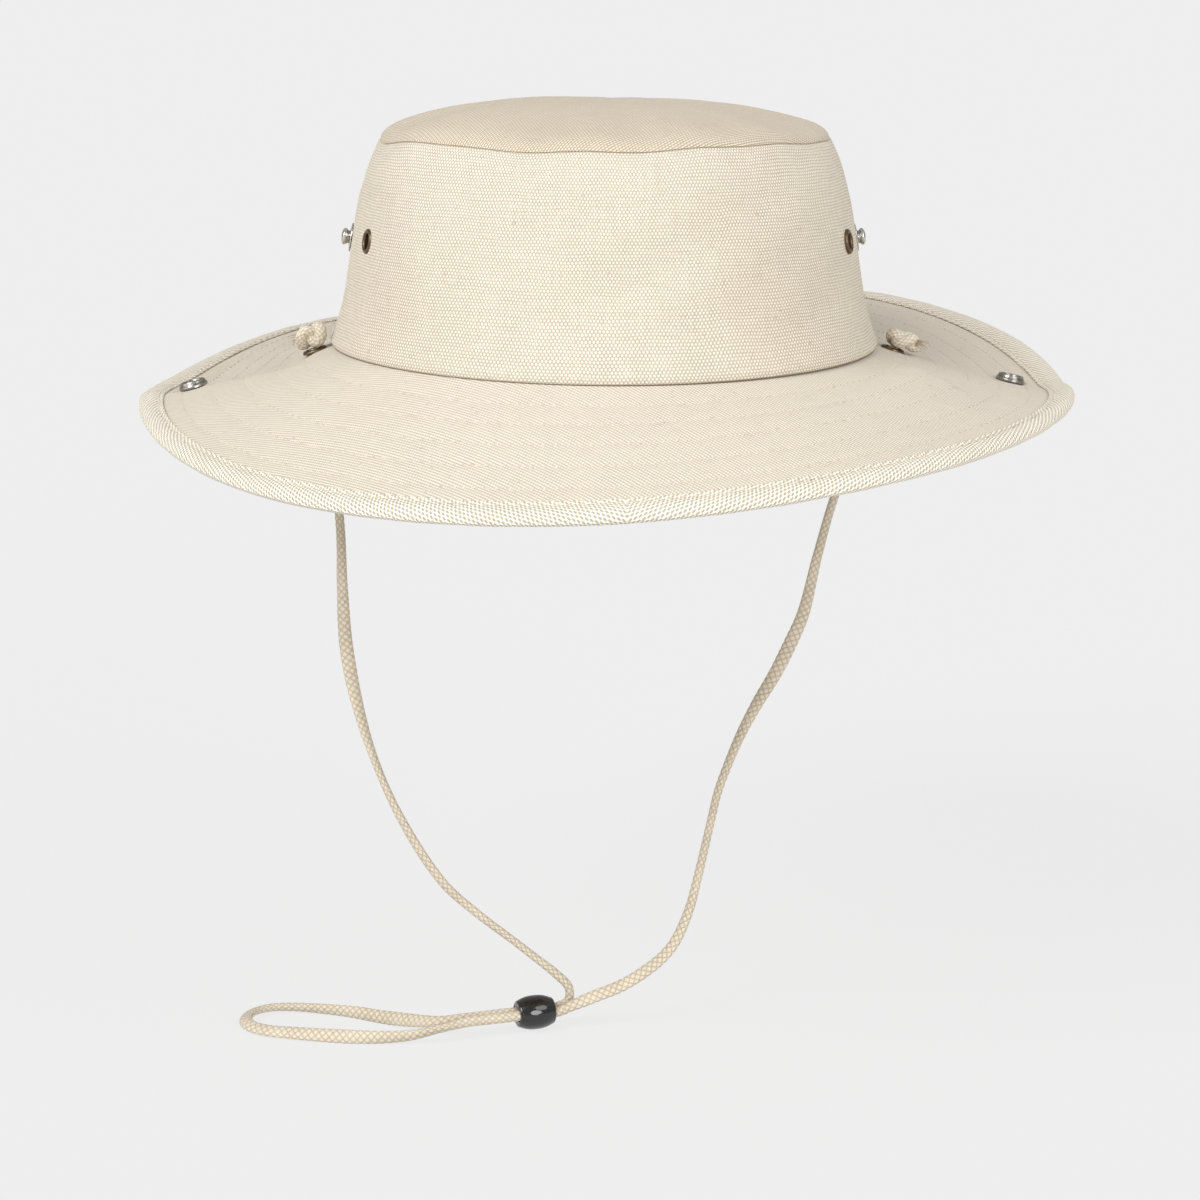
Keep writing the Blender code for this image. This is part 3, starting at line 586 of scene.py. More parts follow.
CANVAS_SHINE = {"Sheen Weight": 0.10, "Sheen Roughness": 0.6, "Specular IOR Level": 0.2}
CORD_SHINE = {"Sheen Weight": 0.2, "Specular IOR Level": 0.2}
THREAD_SHINE = {"Specular IOR Level": 0.2}
POLISH = {"Coat Weight": 0.5, "Coat Roughness": 0.06}
# The second colour here is painted shade, for the grooves at the seams.
# The third colour here is painted shade, where the thread dips into the cloth.
SEED, SEAM_SHADE, HOLE_SHADE = (0.42, 0.34, 0.24), (0.17, 0.14, 0.10), (0.16, 0.13, 0.09)
LIGHT, DARK = (0.85, 0.77, 0.655), (0.405, 0.35, 0.265)
BRIM_LIGHT, BRIM_DARK = (0.79, 0.715, 0.605), (0.455, 0.405, 0.325)
BIAS = math.radians(45)  # the way that the weave of the tape and the tip runs
LOOKS = {
    # painted shade on the crown's cloth at its top and foot seams, beyond its edges
    "crown": woven("crown_canvas", LIGHT, DARK, 0.00091, 0.00058, rows=0.55, dots=1.4,
                   edges=(0.0008, WALL_CLOTH - 0.0012)),
    "brim": woven("brim_canvas", BRIM_LIGHT, BRIM_DARK, 0.00104, 0.00046, -BIAS, dots=0.8, relief=0.00009),
    "tip": woven("tip_canvas", (0.76, 0.67, 0.54), (0.36, 0.30, 0.22), 0.00091, 0.00058, BIAS, dots=0.9),
    # painted shade along the tape's inner edge, where it stands above the brim's cloth
    "binding": woven("binding_tape", (0.95, 0.885, 0.76), (0.42, 0.38, 0.30), 0.00128, 0.00064, BIAS,
                     rows=0.0, dots=2.0, relief=0.00020, flecks=0.2, edges=(0.0008, 1.0)),
    "lining": woven("band_twill", (0.74, 0.665, 0.545), (0.42, 0.36, 0.28), 0.0008, 0.0004,
                    math.radians(25)),
    "cord": braided("cord_cotton", (0.66, 0.585, 0.465), (0.42, 0.355, 0.265), 0.0022),
    "knot": braided("knot_cotton", (0.80, 0.73, 0.61), (0.46, 0.39, 0.29), 0.0014),
    "thread": sewing_thread("sewing_thread", (0.74, 0.67, 0.56), (0.58, 0.51, 0.41)),
    "brass": metal("darkened_brass", (0.17, 0.12, 0.07), (0.022, 0.016, 0.011), 0.34, 0.9),
    "nickel": metal("plated_nickel", (0.66, 0.64, 0.60), (0.30, 0.28, 0.25), 0.22, 0.5),
    # the sockets' nickel is painted darker than the studs', standing in for the dark reflection the
    # sockets show
    "reflection_dark_nickel": metal("nickel_painted_dark", (0.36, 0.345, 0.315), (0.06, 0.055, 0.05), 0.26, 0.75),
    "plastic": black_plastic("polished_black"),
}


# ---- the shape of the crown ----
WALL = (  # height and half width of the side wall, top first
    (TOP_SEAM, 0.0675), (0.0605, 0.0712), (0.0560, 0.0735), (0.0450, 0.0765),
    (0.0260, 0.0795), (0.0140, 0.0815), (0.0060, 0.0835), (-0.0005, HALF_WIDTH),
)
WALL_SHOWN = (  # the same wall with its soft shoulder and turned-in foot
    (0.0638, 0.0676), (0.0646, 0.0688), (0.0641, 0.0699), (0.0615, 0.0714), (0.0565, 0.0736),
    (0.0450, 0.0765), (0.0350, 0.0782), (0.0260, 0.0795), (0.0140, 0.0816), (0.0060, 0.0840),
    (0.0032, 0.0850), (0.0022, 0.0854), (0.0016, 0.0854), (0.0012, 0.0850), (0.0007, 0.0847),
    (-0.0008, 0.0846),
)
TIP_SHOWN = (  # half width and height of the tip, from its middle
    (0.0, 0.0763), (0.0160, 0.0761), (0.0300, 0.0754), (0.0420, 0.0741), (0.0520, 0.0722),
    (0.0600, 0.0702), (0.0648, 0.0686), (0.0676, 0.0671), (0.0690, 0.0658), (0.0695, 0.0648),
    (0.0686, 0.0641),
)


def wall_half_width(height):
    heights = [z for z, _ in reversed(WALL)]
    return float(np.interp(height, heights, [w for _, w in reversed(WALL)]))


def on_wall(angle, height):
    """A point on the crown's outside and the way that its surface faces."""
    width = wall_half_width(height)
    point = Vector(oval(width, angle, height))
    facing = Vector((math.sin(angle), -math.cos(angle) / OVAL, 0)).normalized()
    step = 0.004                # up and down the wall, to measure its slope
    facing.z = (wall_half_width(height - step) - wall_half_width(height + step)) / (2 * step)
    return point, facing.normalized()


def waves(angle, seed, count):
    """A smooth periodic wobble round the hat, about -1 to 1."""
    total = 0.0
    for k in range(1, count + 1):
        phase = math.sin(seed * 12.9898 + k * 78.233) * 43758.5453 % TURN
        total = total + np.sin(k * angle + phase) / math.sqrt(count / 2)
    return total


def front_sag(angle):
    """How much lower the crown's foot hangs at an angle, as it does in front."""
    return FRONT_SAG * np.maximum(np.cos(angle), 0.0) ** 2


def soft_crown(points, angle):
    """Moves the crown's points as soft cloth would lie: a wavy top seam and slow dents."""
    height = points[..., 2]
    from_middle = np.hypot(points[..., 0], points[..., 1] / OVAL)
    near_seam = smooth((height - 0.0535) / 0.0100) * smooth(from_middle / 0.06)
    points[..., 2] += near_seam * (0.00038 * waves(angle, 3.1, 14) + 0.0004 * waves(angle, 8.4, 4))
    leaning = smooth((height - 0.066) / 0.008) * 0.013      # the tip is lower towards +X
    points[..., 2] -= leaning * points[..., 0]
    points[..., 2] -= front_sag(angle) * fade(height / 0.020)
    metal_near = np.maximum(np.exp(-((np.abs(angle) - 1.571) / 0.50) ** 4), 0.0)
    free = (1 - metal_near * fade((height - 0.046) / 0.008)) * smooth(height / 0.02)
    dents = 0.0009 * waves(angle + height * 9.0, 5.7, 5) + 0.00035 * waves(angle - height * 25.0, 1.3, 11)
    scale = 1 + free * dents / 0.085
    points[..., 0] *= scale
    points[..., 1] *= scale
    return points


def turned_cloth(name, profile, thickness, look, angles, closed=False):
    """Oval cloth of the given thickness from a (half width, height) profile.

    The profile runs top to bottom, or, for a closed cloth, from its middle to its edge."""
    even, along = evenly(through_points([Vector((w, 0, z)) for w, z in profile]), 0.0011)
    widths, heights = even[:, 0], even[:, 2]
    along_w, along_h = np.gradient(widths), np.gradient(heights)
    length = np.hypot(along_w, along_h)
    out_w, out_h = -along_h / length, along_w / length
    if closed:
        out_w[0], out_h[0] = 0.0, 1.0
    layers = []
    for inward in (0.0, thickness):
        w = widths - out_w * inward
        h = heights - out_h * inward
        grid = oval(w[:, None], angles, h[:, None])
        layers.append(soft_crown(grid, np.broadcast_to(angles, grid.shape[:2])))
    if closed:
        around = np.append(angles, angles[0] + TURN)
        flat = (along + widths[0])[:, None]
        uv = np.stack([flat * np.sin(around), -flat * np.cos(around) * OVAL], -1)
    else:
        arc = angles * widths.mean() * (1 + OVAL) / 2
        uv = np.stack(np.broadcast_arrays(arc, along[:, None]), -1)
    return add_object(shell_mesh(name, *layers, uv, closed, weld=WELD), look)


# ---- the shape of the brim ----
def turned(angle):
    """The angle from -180 to 180 degrees."""
    return (np.asarray(angle, float) + math.pi) % TURN - math.pi


def brim_slope(angle):
    angle = turned(angle)
    turn = np.abs(angle)
    quarter = math.pi / 2
    side = np.where(angle < 0, SLOPE_LEFT, SLOPE_RIGHT)
    front = SLOPE_FRONT + (side - SLOPE_FRONT) * smooth(turn / quarter)
    back = side + (SLOPE_BACK - side) * smooth((turn - quarter) / (quarter * 2 / 3))
    slope = np.where(turn < quarter, front, back)
    return slope - LOPSIDED * np.copysign(np.abs(np.sin(2 * angle)), angle)


def brim_middle(angle, out):
    """The middle of the brim's thickness and its normal there, for numbers or arrays."""
    angle, out = np.broadcast_arrays(turned(angle), np.asarray(out, float))
    zero = np.zeros_like(angle)
    start = np.stack([HALF_WIDTH * np.sin(angle), -HALF_LENGTH * np.cos(angle), zero - BRIM_DROP], -1)
    level = outwards(angle)
    slope = brim_slope(angle)
    share = np.maximum(out, 0.0) / BRIM_WIDTH
    curl = np.where(angle < 0, CURL_LEFT, CURL_RIGHT) * np.abs(np.sin(angle)) ** CURL_ROUND
    lift = np.where(angle < 0, LIFT_LEFT, LIFT_RIGHT)
    curl = curl + lift * np.exp(-((np.abs(angle) - LIFT_ANGLE) / LIFT_WIDE) ** 2)
    height = curl * share ** CURL_OUT - out * np.sin(slope)
    rise = curl * CURL_OUT * share ** (CURL_OUT - 1) / BRIM_WIDTH - np.sin(slope)
    up = np.array([0.0, 0.0, 1.0])
    point = start + level * (out * np.cos(slope))[..., None] + up * height[..., None]
    normal = up * np.cos(slope)[..., None] - level * rise[..., None]
    return point, unit(normal)


def creases(angle, out):
    """The soft folds that run out from the cord's eyelets.

    The cloth dips behind the left one, and rises before the right one."""
    angle = turned(angle)
    behind = -angle - math.radians(74.5) - 6.7 * out
    dip = smooth(behind / 0.08) * fade((behind - 0.16) / 0.45)
    before = math.radians(72.5) - 5.8 * out - angle
    rise = smooth((before + 0.07) / 0.08) * fade((before - 0.05) / 0.45)
    reach = smooth((out - 0.003) / 0.012) * fade((out - 0.044) / 0.012)
    rise = rise * fade((out - 0.016) / 0.030)
    return reach * (RISE * rise * (angle > 0) - DIP * dip * (angle < 0))


def brim_wave(angle, out):
    """Slow waves of the soft brim, none where the snaps and eyelets sit."""
    off = np.abs(np.abs(turned(angle)) - METAL_ANGLE)
    free = smooth((off - math.radians(5)) / math.radians(15))
    return 0.0004 * free * waves(angle, 2.2, 7) * smooth(out / BRIM_WIDTH)


def quilting(angle, out):
    """How far the cloth rises between its rows of stitches, and dips at each stitch."""
    row = (out - ROWS_FIRST) / ROWS_APART
    nearest = np.clip(np.round(row), 0, ROWS - 1)
    from_row = np.abs(row - nearest) * ROWS_APART
    rise = 0.00018 * smooth(from_row / 0.0026)
    puckers = 0.00004 * waves(angle * 23 + nearest * 1.7, 4.0, 4) * np.exp(-(from_row / 0.0016) ** 2)
    pulled = 0.00022 * smooth((out - BRIM_WIDTH + BINDING_WIDTH + 0.0012) / 0.0010)
    return rise + puckers - 0.00014 - pulled


def brim_at(angle, out, lift):
    """Points of the brim: out from the crown, lifted above the brim's middle."""
    middle, normal = brim_middle(angle, out)
    lift = lift + creases(angle, out) + brim_wave(angle, out)
    lift = lift - front_sag(angle) * fade(out / 0.026)
    return middle + normal * np.asarray(lift)[..., None]


def half_angles(sign, step=math.radians(1.0)):
    """Angles along one half of the brim, crowded at both ends, where the halves meet."""
    close = np.radians([0.0, 0.04, 0.12, 0.3, 0.6])
    middle = np.arange(step, math.pi - step / 2, step)
    return sign * np.concatenate([close, middle, math.pi - close[::-1]])


def brim_cloth(side, sign):
    """One half of the quilted brim, top and under side as one closed cloth."""
    angles = half_angles(sign)
    rows = np.linspace(-0.0022, BRIM_WIDTH - 0.0024, 95)
    out, angle = np.meshgrid(rows, angles, indexing="ij")
    puff = quilting(angle, out)
    layers = [brim_at(angle, out, sense * (HALF_THICK + puff)) for sense in (1, -1)]
    uv = (brim_middle(angle, 0.0)[0] + outwards(angle) * out[..., None])[..., :2]
    return add_object(shell_mesh(f"{side}_brim_cloth", *layers, uv), "brim")


def bound_edge(side, sign):
    """One half of the bias tape folded over the rim."""
    angles = half_angles(sign, math.radians(0.7))
    width, high = BINDING_WIDTH, BINDING_HIGH
    top = [(0.97, HALF_THICK * 0.45), (1.00, HALF_THICK * 0.9), (1.00, high * 0.70), (0.95, high * 0.79),
           (SEWN_AT, high * 0.72), (0.56, high * 0.86), (0.30, high * 0.80), (0.10, high * 0.54), (0, 0)]
    half = through_points([Vector((-width * share, 0, z)) for share, z in top], 6)
    section = np.concatenate([half, half[-2::-1] * (1, 1, -1)])
    around = distances(section)
    inward, up = section[:, 0], section[:, 2]
    sewn = np.exp(-((inward + width * SEWN_AT) / 0.0013) ** 2)
    rim, _ = brim_middle(angles, BRIM_WIDTH)
    run = distances(rim)
    pucker = 1 - 0.06 * sewn * (1 + np.sin(TURN * run / STITCH))[:, None]
    swell = 1 + 0.03 * waves(angles * 9, 6.1, 6)[:, None]
    angle, inward = np.broadcast_arrays(angles[:, None], inward)
    rings = brim_at(angle, BRIM_WIDTH + inward, up * pucker * swell)
    uv = stack_grid(run, np.append(around, around[-1] + 2 * HALF_THICK))
    return add_object(tube_mesh(f"{side}_binding_tape", rings, uv), "binding")


# ---- stitches ----
def stitching(name, lines, cover=0.86):
    """Separate stitches along lines of (points, normals), as one piece.

    A stitch covers that share of its length, stands a little above the cloth in its
    middle and goes down into it at its ends."""
    rise, sink = 0.00006, 0.00034
    sides, cuts = 6, 6
    around = turns(sides)
    t = np.linspace(-0.5, 0.5, cuts + 1)
    bow = 1 - (2 * np.abs(t)) ** 3
    rings, uvs = [], []
    for line, normals in lines:
        run = distances(line)
        middles = (np.arange(int(run[-1] / STITCH)) + 0.5) * STITCH
        want = middles[:, None] + t * STITCH * cover
        path = np.stack([np.interp(want, run, line[:, i]) for i in range(3)], -1)
        normal = np.stack([np.interp(want, run, normals[:, i]) for i in range(3)], -1)
        path = path + normal * (rise * bow - sink * (1 - bow))[:, None]
        tangent = unit(np.gradient(path, axis=1))
        across = np.cross(tangent, normal)
        up = np.cross(across, tangent)
        thick = THREAD * (0.55 + 0.45 * bow)[:, None, None]
        rings.append(path[:, :, None] + thick * (across[:, :, None] * np.cos(around)[:, None]
                                                 + up[:, :, None] * np.sin(around)[:, None]))
        uvs.append(np.stack(np.broadcast_arrays(want[..., None], around * THREAD), -1))
    rings, uvs = np.concatenate(rings), np.concatenate(uvs)
    count = len(rings)
    each = (cuts + 1) * sides
    one = grid_quads(cuts + 1, sides, sides, sides, True)
    one[..., 1] = one[..., 0]
    quads = (one[None] + (np.arange(count) * each)[:, None, None, None]).reshape(-1, 4, 2)
    c = np.arange(sides)
    ends = [np.stack([k * each + r * sides + c] * 2, 1) for k in range(count) for r in (0, cuts)]
    mesh = build_mesh(name, rings.reshape(-1, 3), quads, uvs.reshape(-1, 2), ends)
    finish_mesh(mesh, degrees=60)
    return add_object(mesh, "thread")


def brim_line(sign, out, lift, sense):
    """A row across one half of the brim, on its top (sense 1) or under side (-1)."""
    angles = sign * np.linspace(0.004, math.pi - 0.004, 900)
    outs = np.full(len(angles), out)
    _, normal = brim_middle(angles, outs)
    return brim_at(angles, outs, np.full(len(angles), sense * lift)), normal * sense


def brim_stitching(side, sign):
    outs = [ROWS_FIRST + ROWS_APART * row for row in range(ROWS)]
    lines = [brim_line(sign, out, HALF_THICK - 0.00012, sense) for out in outs for sense in (1, -1)]
    return stitching(f"{side}_brim_stitching", lines)


def binding_stitching(side, sign):
    out = BRIM_WIDTH - BINDING_WIDTH * SEWN_AT
    lines = [brim_line(sign, out, BINDING_HIGH * 0.71, sense) for sense in (1, -1)]
    return stitching(f"{side}_binding_stitching", lines, cover=0.80)


# ---- holes ----
def frame_on(point, axis):
    return Matrix.Translation(Vector(point)) @ Vector(axis).to_track_quat("Z", "Y").to_matrix().to_4x4()


def punch(piece, places):
    """Cuts the eyelets' round holes through a cloth, along the Z of each matrix."""
    shape = bmesh.new()
    for place in places:
        bmesh.ops.create_cone(shape, cap_ends=True, segments=40, radius1=HOLE, radius2=HOLE,
                              depth=0.010, matrix=place)
    cut_with(piece, shape, 50)


def cut_with(piece, shape, degrees):
    """Subtracts a bmesh from a piece, bakes the result and makes its sharp edges sharp."""
    mesh = bpy.data.meshes.new("cutter")
    shape.to_mesh(mesh)
    shape.free()
    cutter = link_new("cutter", mesh)
    boolean = piece.modifiers.new("cut", "BOOLEAN")
    boolean.operation = "DIFFERENCE"
    boolean.solver = "MANIFOLD"
    boolean.object = cutter
    bpy.context.view_layer.update()
    graph = bpy.context.evaluated_depsgraph_get()
    baked = bpy.data.meshes.new_from_object(piece.evaluated_get(graph))
    piece.modifiers.clear()
    piece.data = baked
    piece.data.set_sharp_from_angle(angle=math.radians(degrees))
    bpy.data.objects.remove(cutter, do_unlink=True)


def brim_place(angle, out):
    return frame_on(*brim_middle(angle, out))


def wall_place(angle, height):
    """A place in the middle of the wall's cloth, with its Z out of the hat."""
    point, facing = on_wall(angle, height)
    return frame_on(point - facing * (CANVAS / 2), facing)


def vent_places(sign):
    return {end: wall_place(sign * angle, VENT_HEIGHT) for end, angle in VENT_ANGLES.items()}


# ---- crown ----
def crown():
    around = np.radians(np.concatenate([[-179.9], np.arange(-179.3, 179.4, 0.9), [179.9]]))
    wall = turned_cloth("crown_side_cloth", [(w, z) for z, w in WALL_SHOWN], CANVAS, "crown", around)
    punch(wall, [p for sign in SIDES.values() for p in vent_places(sign).values()])
    ring = np.radians(np.arange(-180, 180, 1.0))
    tip = turned_cloth("crown_tip_cloth", TIP_SHOWN, CANVAS, "tip", ring, closed=True)
    stands_for(wall, "crown_side")
    stands_for(tip, "crown_tip")


def sweatband():
    """The band inside the opening, and the tape that covers the top seam's inside."""
    around = np.radians(np.concatenate([[-179.5], np.arange(-178.5, 178.6, 1.0), [179.5]]))
    inset = CANVAS + 0.0006
    heights = (0.0245, 0.0238, 0.0180, 0.0110, 0.0045, 0.0012, 0.0004)
    profile = [(wall_half_width(z) - inset, z) for z in heights]
    stands_for(turned_cloth("sweatband_twill", profile, 0.0010, "lining", around), "sweatband")
    lines = []
    for height in (0.0228, 0.0032):
        width = wall_half_width(height) - inset - 0.0010
        lines.append((soft_crown(oval(width, around, height), around), -outwards(around)))
    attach(stitching("sweatband_stitching", lines), "root")
    profile = [(wall_half_width(z) - CANVAS - 0.0004, z) for z in (0.0606, 0.0585, 0.0560, 0.0520)]
    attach(turned_cloth("top_seam_tape", profile, 0.0007, "lining", around), "root")


# ---- hardware ----
def set_piece(name, profile, look, place, node, body="root"):
    """A turned piece that stands for a CAD node."""
    piece = add_object(turned_mesh(name, profile), look)
    piece.matrix_world = place
    stands_for(piece, node, body=body)


def eyelet(name, place, wall):
    """A rolled flange with its barrel, and the washer behind the cloth."""
    half = wall / 2
    flange = half + 0.00010
    tail = -half - SEAT - 0.0009
    roll = [(0.00310 + 0.00072 * math.cos(t), flange + 0.00072 * math.sin(t) * 1.15)
            for t in np.linspace(math.radians(-12), math.radians(180), 12)]
    profile = [(0.0026, flange - 0.0001), *roll, (0.00238, flange - 0.0004), (0.0023, 0.0),
               (0.00235, tail + 0.0003), (0.0027, tail), (0.0031, tail + 0.0002), (0.0028, tail + 0.0005),
               (0.0026, tail + 0.0008)]
    set_piece(f"{name}_eyelet_rolled", profile, "brass", place, f"{name}_eyelet")
    rim = [(0.0042, -half - 0.0002), (0.0043, -half - 0.0006), (0.0041, -half - 0.0009),
           (0.0034, -half - 0.0011), (0.0029, -half - 0.0010), (0.0029, -half - 0.0002)]
    set_piece(f"{name}_washer_pressed", rounded(rim), "brass", place, f"{name}_washer")


def stud_profile():
    base = CANVAS / 2 + 0.0001
    top = base + 0.0034
    return rounded([(0.0, top), (0.0016, top - 0.0001), (0.0026, top - 0.0007), (0.0026, top - 0.0014),
                    (0.0020, top - 0.0019), (0.0020, base + 0.0010), (0.0026, base + 0.0008),
                    (0.0044, base + 0.0006), (0.0046, base + 0.0001), (0.0, base)])


def cap_profile(wall):
    cap = -wall / 2 - 0.0001
    return rounded([(0.0, 0.0), (0.0014, 0.0), (0.0014, cap), (0.0044, cap), (0.0046, cap - 0.0004),
                    (0.0040, cap - 0.0010), (0.0016, cap - 0.0013), (0.0, cap - 0.0011)])


def socket_profile():
    """A dished ring with a rolled rim and a floor where its rivet is set."""
    base = HALF_THICK + 0.0001
    return rounded([(0.0, base + 0.0004), (0.0016, base + 0.0004), (0.0021, base + 0.0002),
                    (0.0030, base + 0.0003), (0.0031, base + 0.0016), (0.0034, base + 0.0023),
                    (0.0039, base + 0.0023), (0.0042, base + 0.0014), (0.0046, base + 0.0009),
                    (0.0046, base + 0.0001), (0.0, base)])


def spring_wires(side, place):
    """The two wires in the socket that grip the stud."""
    height = HALF_THICK + 0.0013
    wires = []
    for across in (-0.0021, 0.0021):
        t = np.linspace(-1, 1, 13)
        line = np.stack([across * (1 - 0.12 * t ** 2), 0.0023 * t, np.full(13, height)], 1)
        wires.append(wire_mesh(line, 0.00022, 8, (1, 0, 0)))
    piece = add_object(joined(f"{side}_snap_springs", wires), "nickel")
    piece.matrix_world = place
    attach(piece, f"{side}_flap")


def hardware(side, sign):
    """The eyelets and the snap of one side."""
    for end, place in vent_places(sign).items():
        eyelet(f"{side}_{end}_vent", place, CANVAS)
    angle = sign * math.acos(-STUD_Y / (wall_half_width(STUD_HEIGHT) * OVAL))
    place = wall_place(angle, STUD_HEIGHT)
    set_piece(f"{side}_stud_turned", stud_profile(), "nickel", place, f"{side}_snap_stud")
    set_piece(f"{side}_post_cap", cap_profile(CANVAS), "nickel", place, f"{side}_stud_post")
    angle = sign * math.acos(-SOCKET_Y / (HALF_LENGTH + SOCKET_OUT))
    place = brim_place(angle, SOCKET_OUT)
    body = f"{side}_flap"
    # the socket's darker nickel is painted in, as its dark reflection
    set_piece(f"{side}_socket_dished", socket_profile(), "reflection_dark_nickel", place, f"{side}_snap_socket", body)
    cap = cap_profile(2 * HALF_THICK)
    set_piece(f"{side}_cap_pressed", cap, "nickel", place, f"{side}_socket_cap", body)
    spring_wires(side, place)
    eyelet(f"{side}_cord", brim_place(sign * EYELET_ANGLE, EYELET_OUT), 2 * HALF_THICK)


# ---- chin cord ----
def eyelet_middle(sign):
    """The middle of a cord eyelet in the brim, and the way up from it."""
    return (Vector(v) for v in brim_middle(sign * EYELET_ANGLE, EYELET_OUT))


def cord_route():
    """From the left knot, through its eyelet, bead, loop and bead, to the right knot."""
    across = Vector((-BEAD_AXIS.y, BEAD_AXIS.x, 0))
    ends = []
    for sign in (-1, 1):
        middle, normal = eyelet_middle(sign)
        ends.append([middle + normal * h for h in (HALF_THICK + 0.0010, 0.0, -HALF_THICK - 0.0035)])
    lane = [BEAD_CENTRE + BEAD_AXIS * s * BEAD_STRAIGHT for s in (-0.32, -0.1, 0.35, 0.7, 1.0)]
    back = [p - across * LANE for p in lane]
    front = [p + across * LANE for p in reversed(lane)]
    left, right = ([Vector(p) for p in points] for points in (LEFT_STRAND, RIGHT_STRAND))
    loop = [Vector(p) for p in LOOP]
    return ends[0] + left + back + loop + front + right + list(reversed(ends[1]))


def braid_rings(line, along, sides, wide, thin, twist, tight, pitch=0.0022, bulge=0.055):
    """Rings of a flat braid: wide by thin, turning by twist, round where tight is 1."""
    across, other = carried_frames(line)
    angles = turns(sides)
    rings = []
    for i, (point, s) in enumerate(zip(line, along)):
        a, b = (half + (CORD_ROUND - half) * tight[i] for half in (wide, thin))
        strands = 1 + bulge * np.abs(np.sin(math.pi * (s / pitch + angles * 3 / math.pi))
                                     * np.sin(math.pi * (s / pitch - angles * 3 / math.pi)))
        x, y = a * np.cos(angles) * strands, b * np.sin(angles) * strands
        cos, sin = math.cos(twist[i]), math.sin(twist[i])
        x, y = x * cos - y * sin, x * sin + y * cos
        rings.append(point + across[i] * x[:, None] + other[i] * y[:, None])
    around = np.linspace(0, TURN, sides + 1) * CORD_DIAMETER / 2
    return np.array(rings), stack_grid(along, around)


def chin_cord():
    """The cord, flat but round in the bead and at its knots, with its path and length."""
    fine = through_points(cord_route())
    line, along = evenly(fine, 0.0007)
    off = line - np.array(BEAD_CENTRE)
    slid = np.clip(off @ np.array(BEAD_AXIS), 0.0, BEAD_TRAVEL)
    to_bead = np.linalg.norm(off - slid[:, None] * np.array(BEAD_AXIS), axis=1)
    to_end = np.minimum(along, along[-1] - along)
    tight = np.maximum(fade((to_bead - 0.008) / 0.010), fade((to_end - 0.006) / 0.008))
    twist = 1.1 * np.sin(along * 31.0) + 1.6 * np.sin(along * 11.0 + 1.0)
    rings, uv = braid_rings(line, along, 18, 0.0021, 0.0012, twist, tight)
    cord = add_object(tube_mesh("chin_cord_braid", rings, uv), "cord")
    stands_for(cord, "chin_cord")
    return cord, evenly(fine, 0.004)[0], float(along[-1])


def knot(side, sign):
    """An overhand knot of the cord that sits on its eyelet, with a frayed tail."""
    middle, normal = eyelet_middle(sign)
    seat = middle + normal * (HALF_THICK + SEAT + 0.0011)
    level = Vector((sign, 0, 0))
    level = (level - normal * level.dot(normal)).normalized()
    side_way = normal.cross(level)
    t = np.linspace(0, TURN, 160)
    x = (np.sin(t) + 2 * np.sin(2 * t)) / 3
    y = (np.cos(t) - 2 * np.cos(2 * t)) / 3
    z = -np.sin(3 * t)
    size, lift, aside = KNOTS[side]
    coil = np.stack([x * size[0] + aside, y * size[1], z * size[2] + lift], 1)
    basis = np.array([level, side_way, normal])
    line, run = evenly(np.array(seat) + coil @ basis, 0.0004)
    twist, tight = 0.8 * np.sin(run * 90), np.zeros(len(run))
    rings, uv = braid_rings(line, run, 24, 0.00195, 0.00150, twist, tight, 0.0014, 0.10)
    parts = [tube_mesh("coil", rings, uv)]
    t = np.linspace(0, 1, 7)[:, None]
    droop = np.array([0, 0, 0.0012]) * t ** 2
    for k in range(26):         # the tail's fibres, each its own way
        spread = 1.1 * math.sin(k * 2.4)
        way = np.array([math.cos(spread), math.sin(spread), 0.35 + 0.30 * math.sin(k * 1.7)])
        length = 0.0042 + 0.0012 * math.sin(k * 5.3)
        start = np.array([size[0] * 0.6 + aside, size[1] * 0.35 * math.sin(k * 3.1), lift])
        fibre = np.array(seat) + (start + way * t * length - droop) @ basis
        parts.append(wire_mesh(fibre, (0.00024 * (1 - 0.6 * t))[:, :, None], 5))
    piece = add_object(joined(f"{side}_knot_tied", parts), "knot")
    stands_for(piece, f"{side}_knot")
    return piece


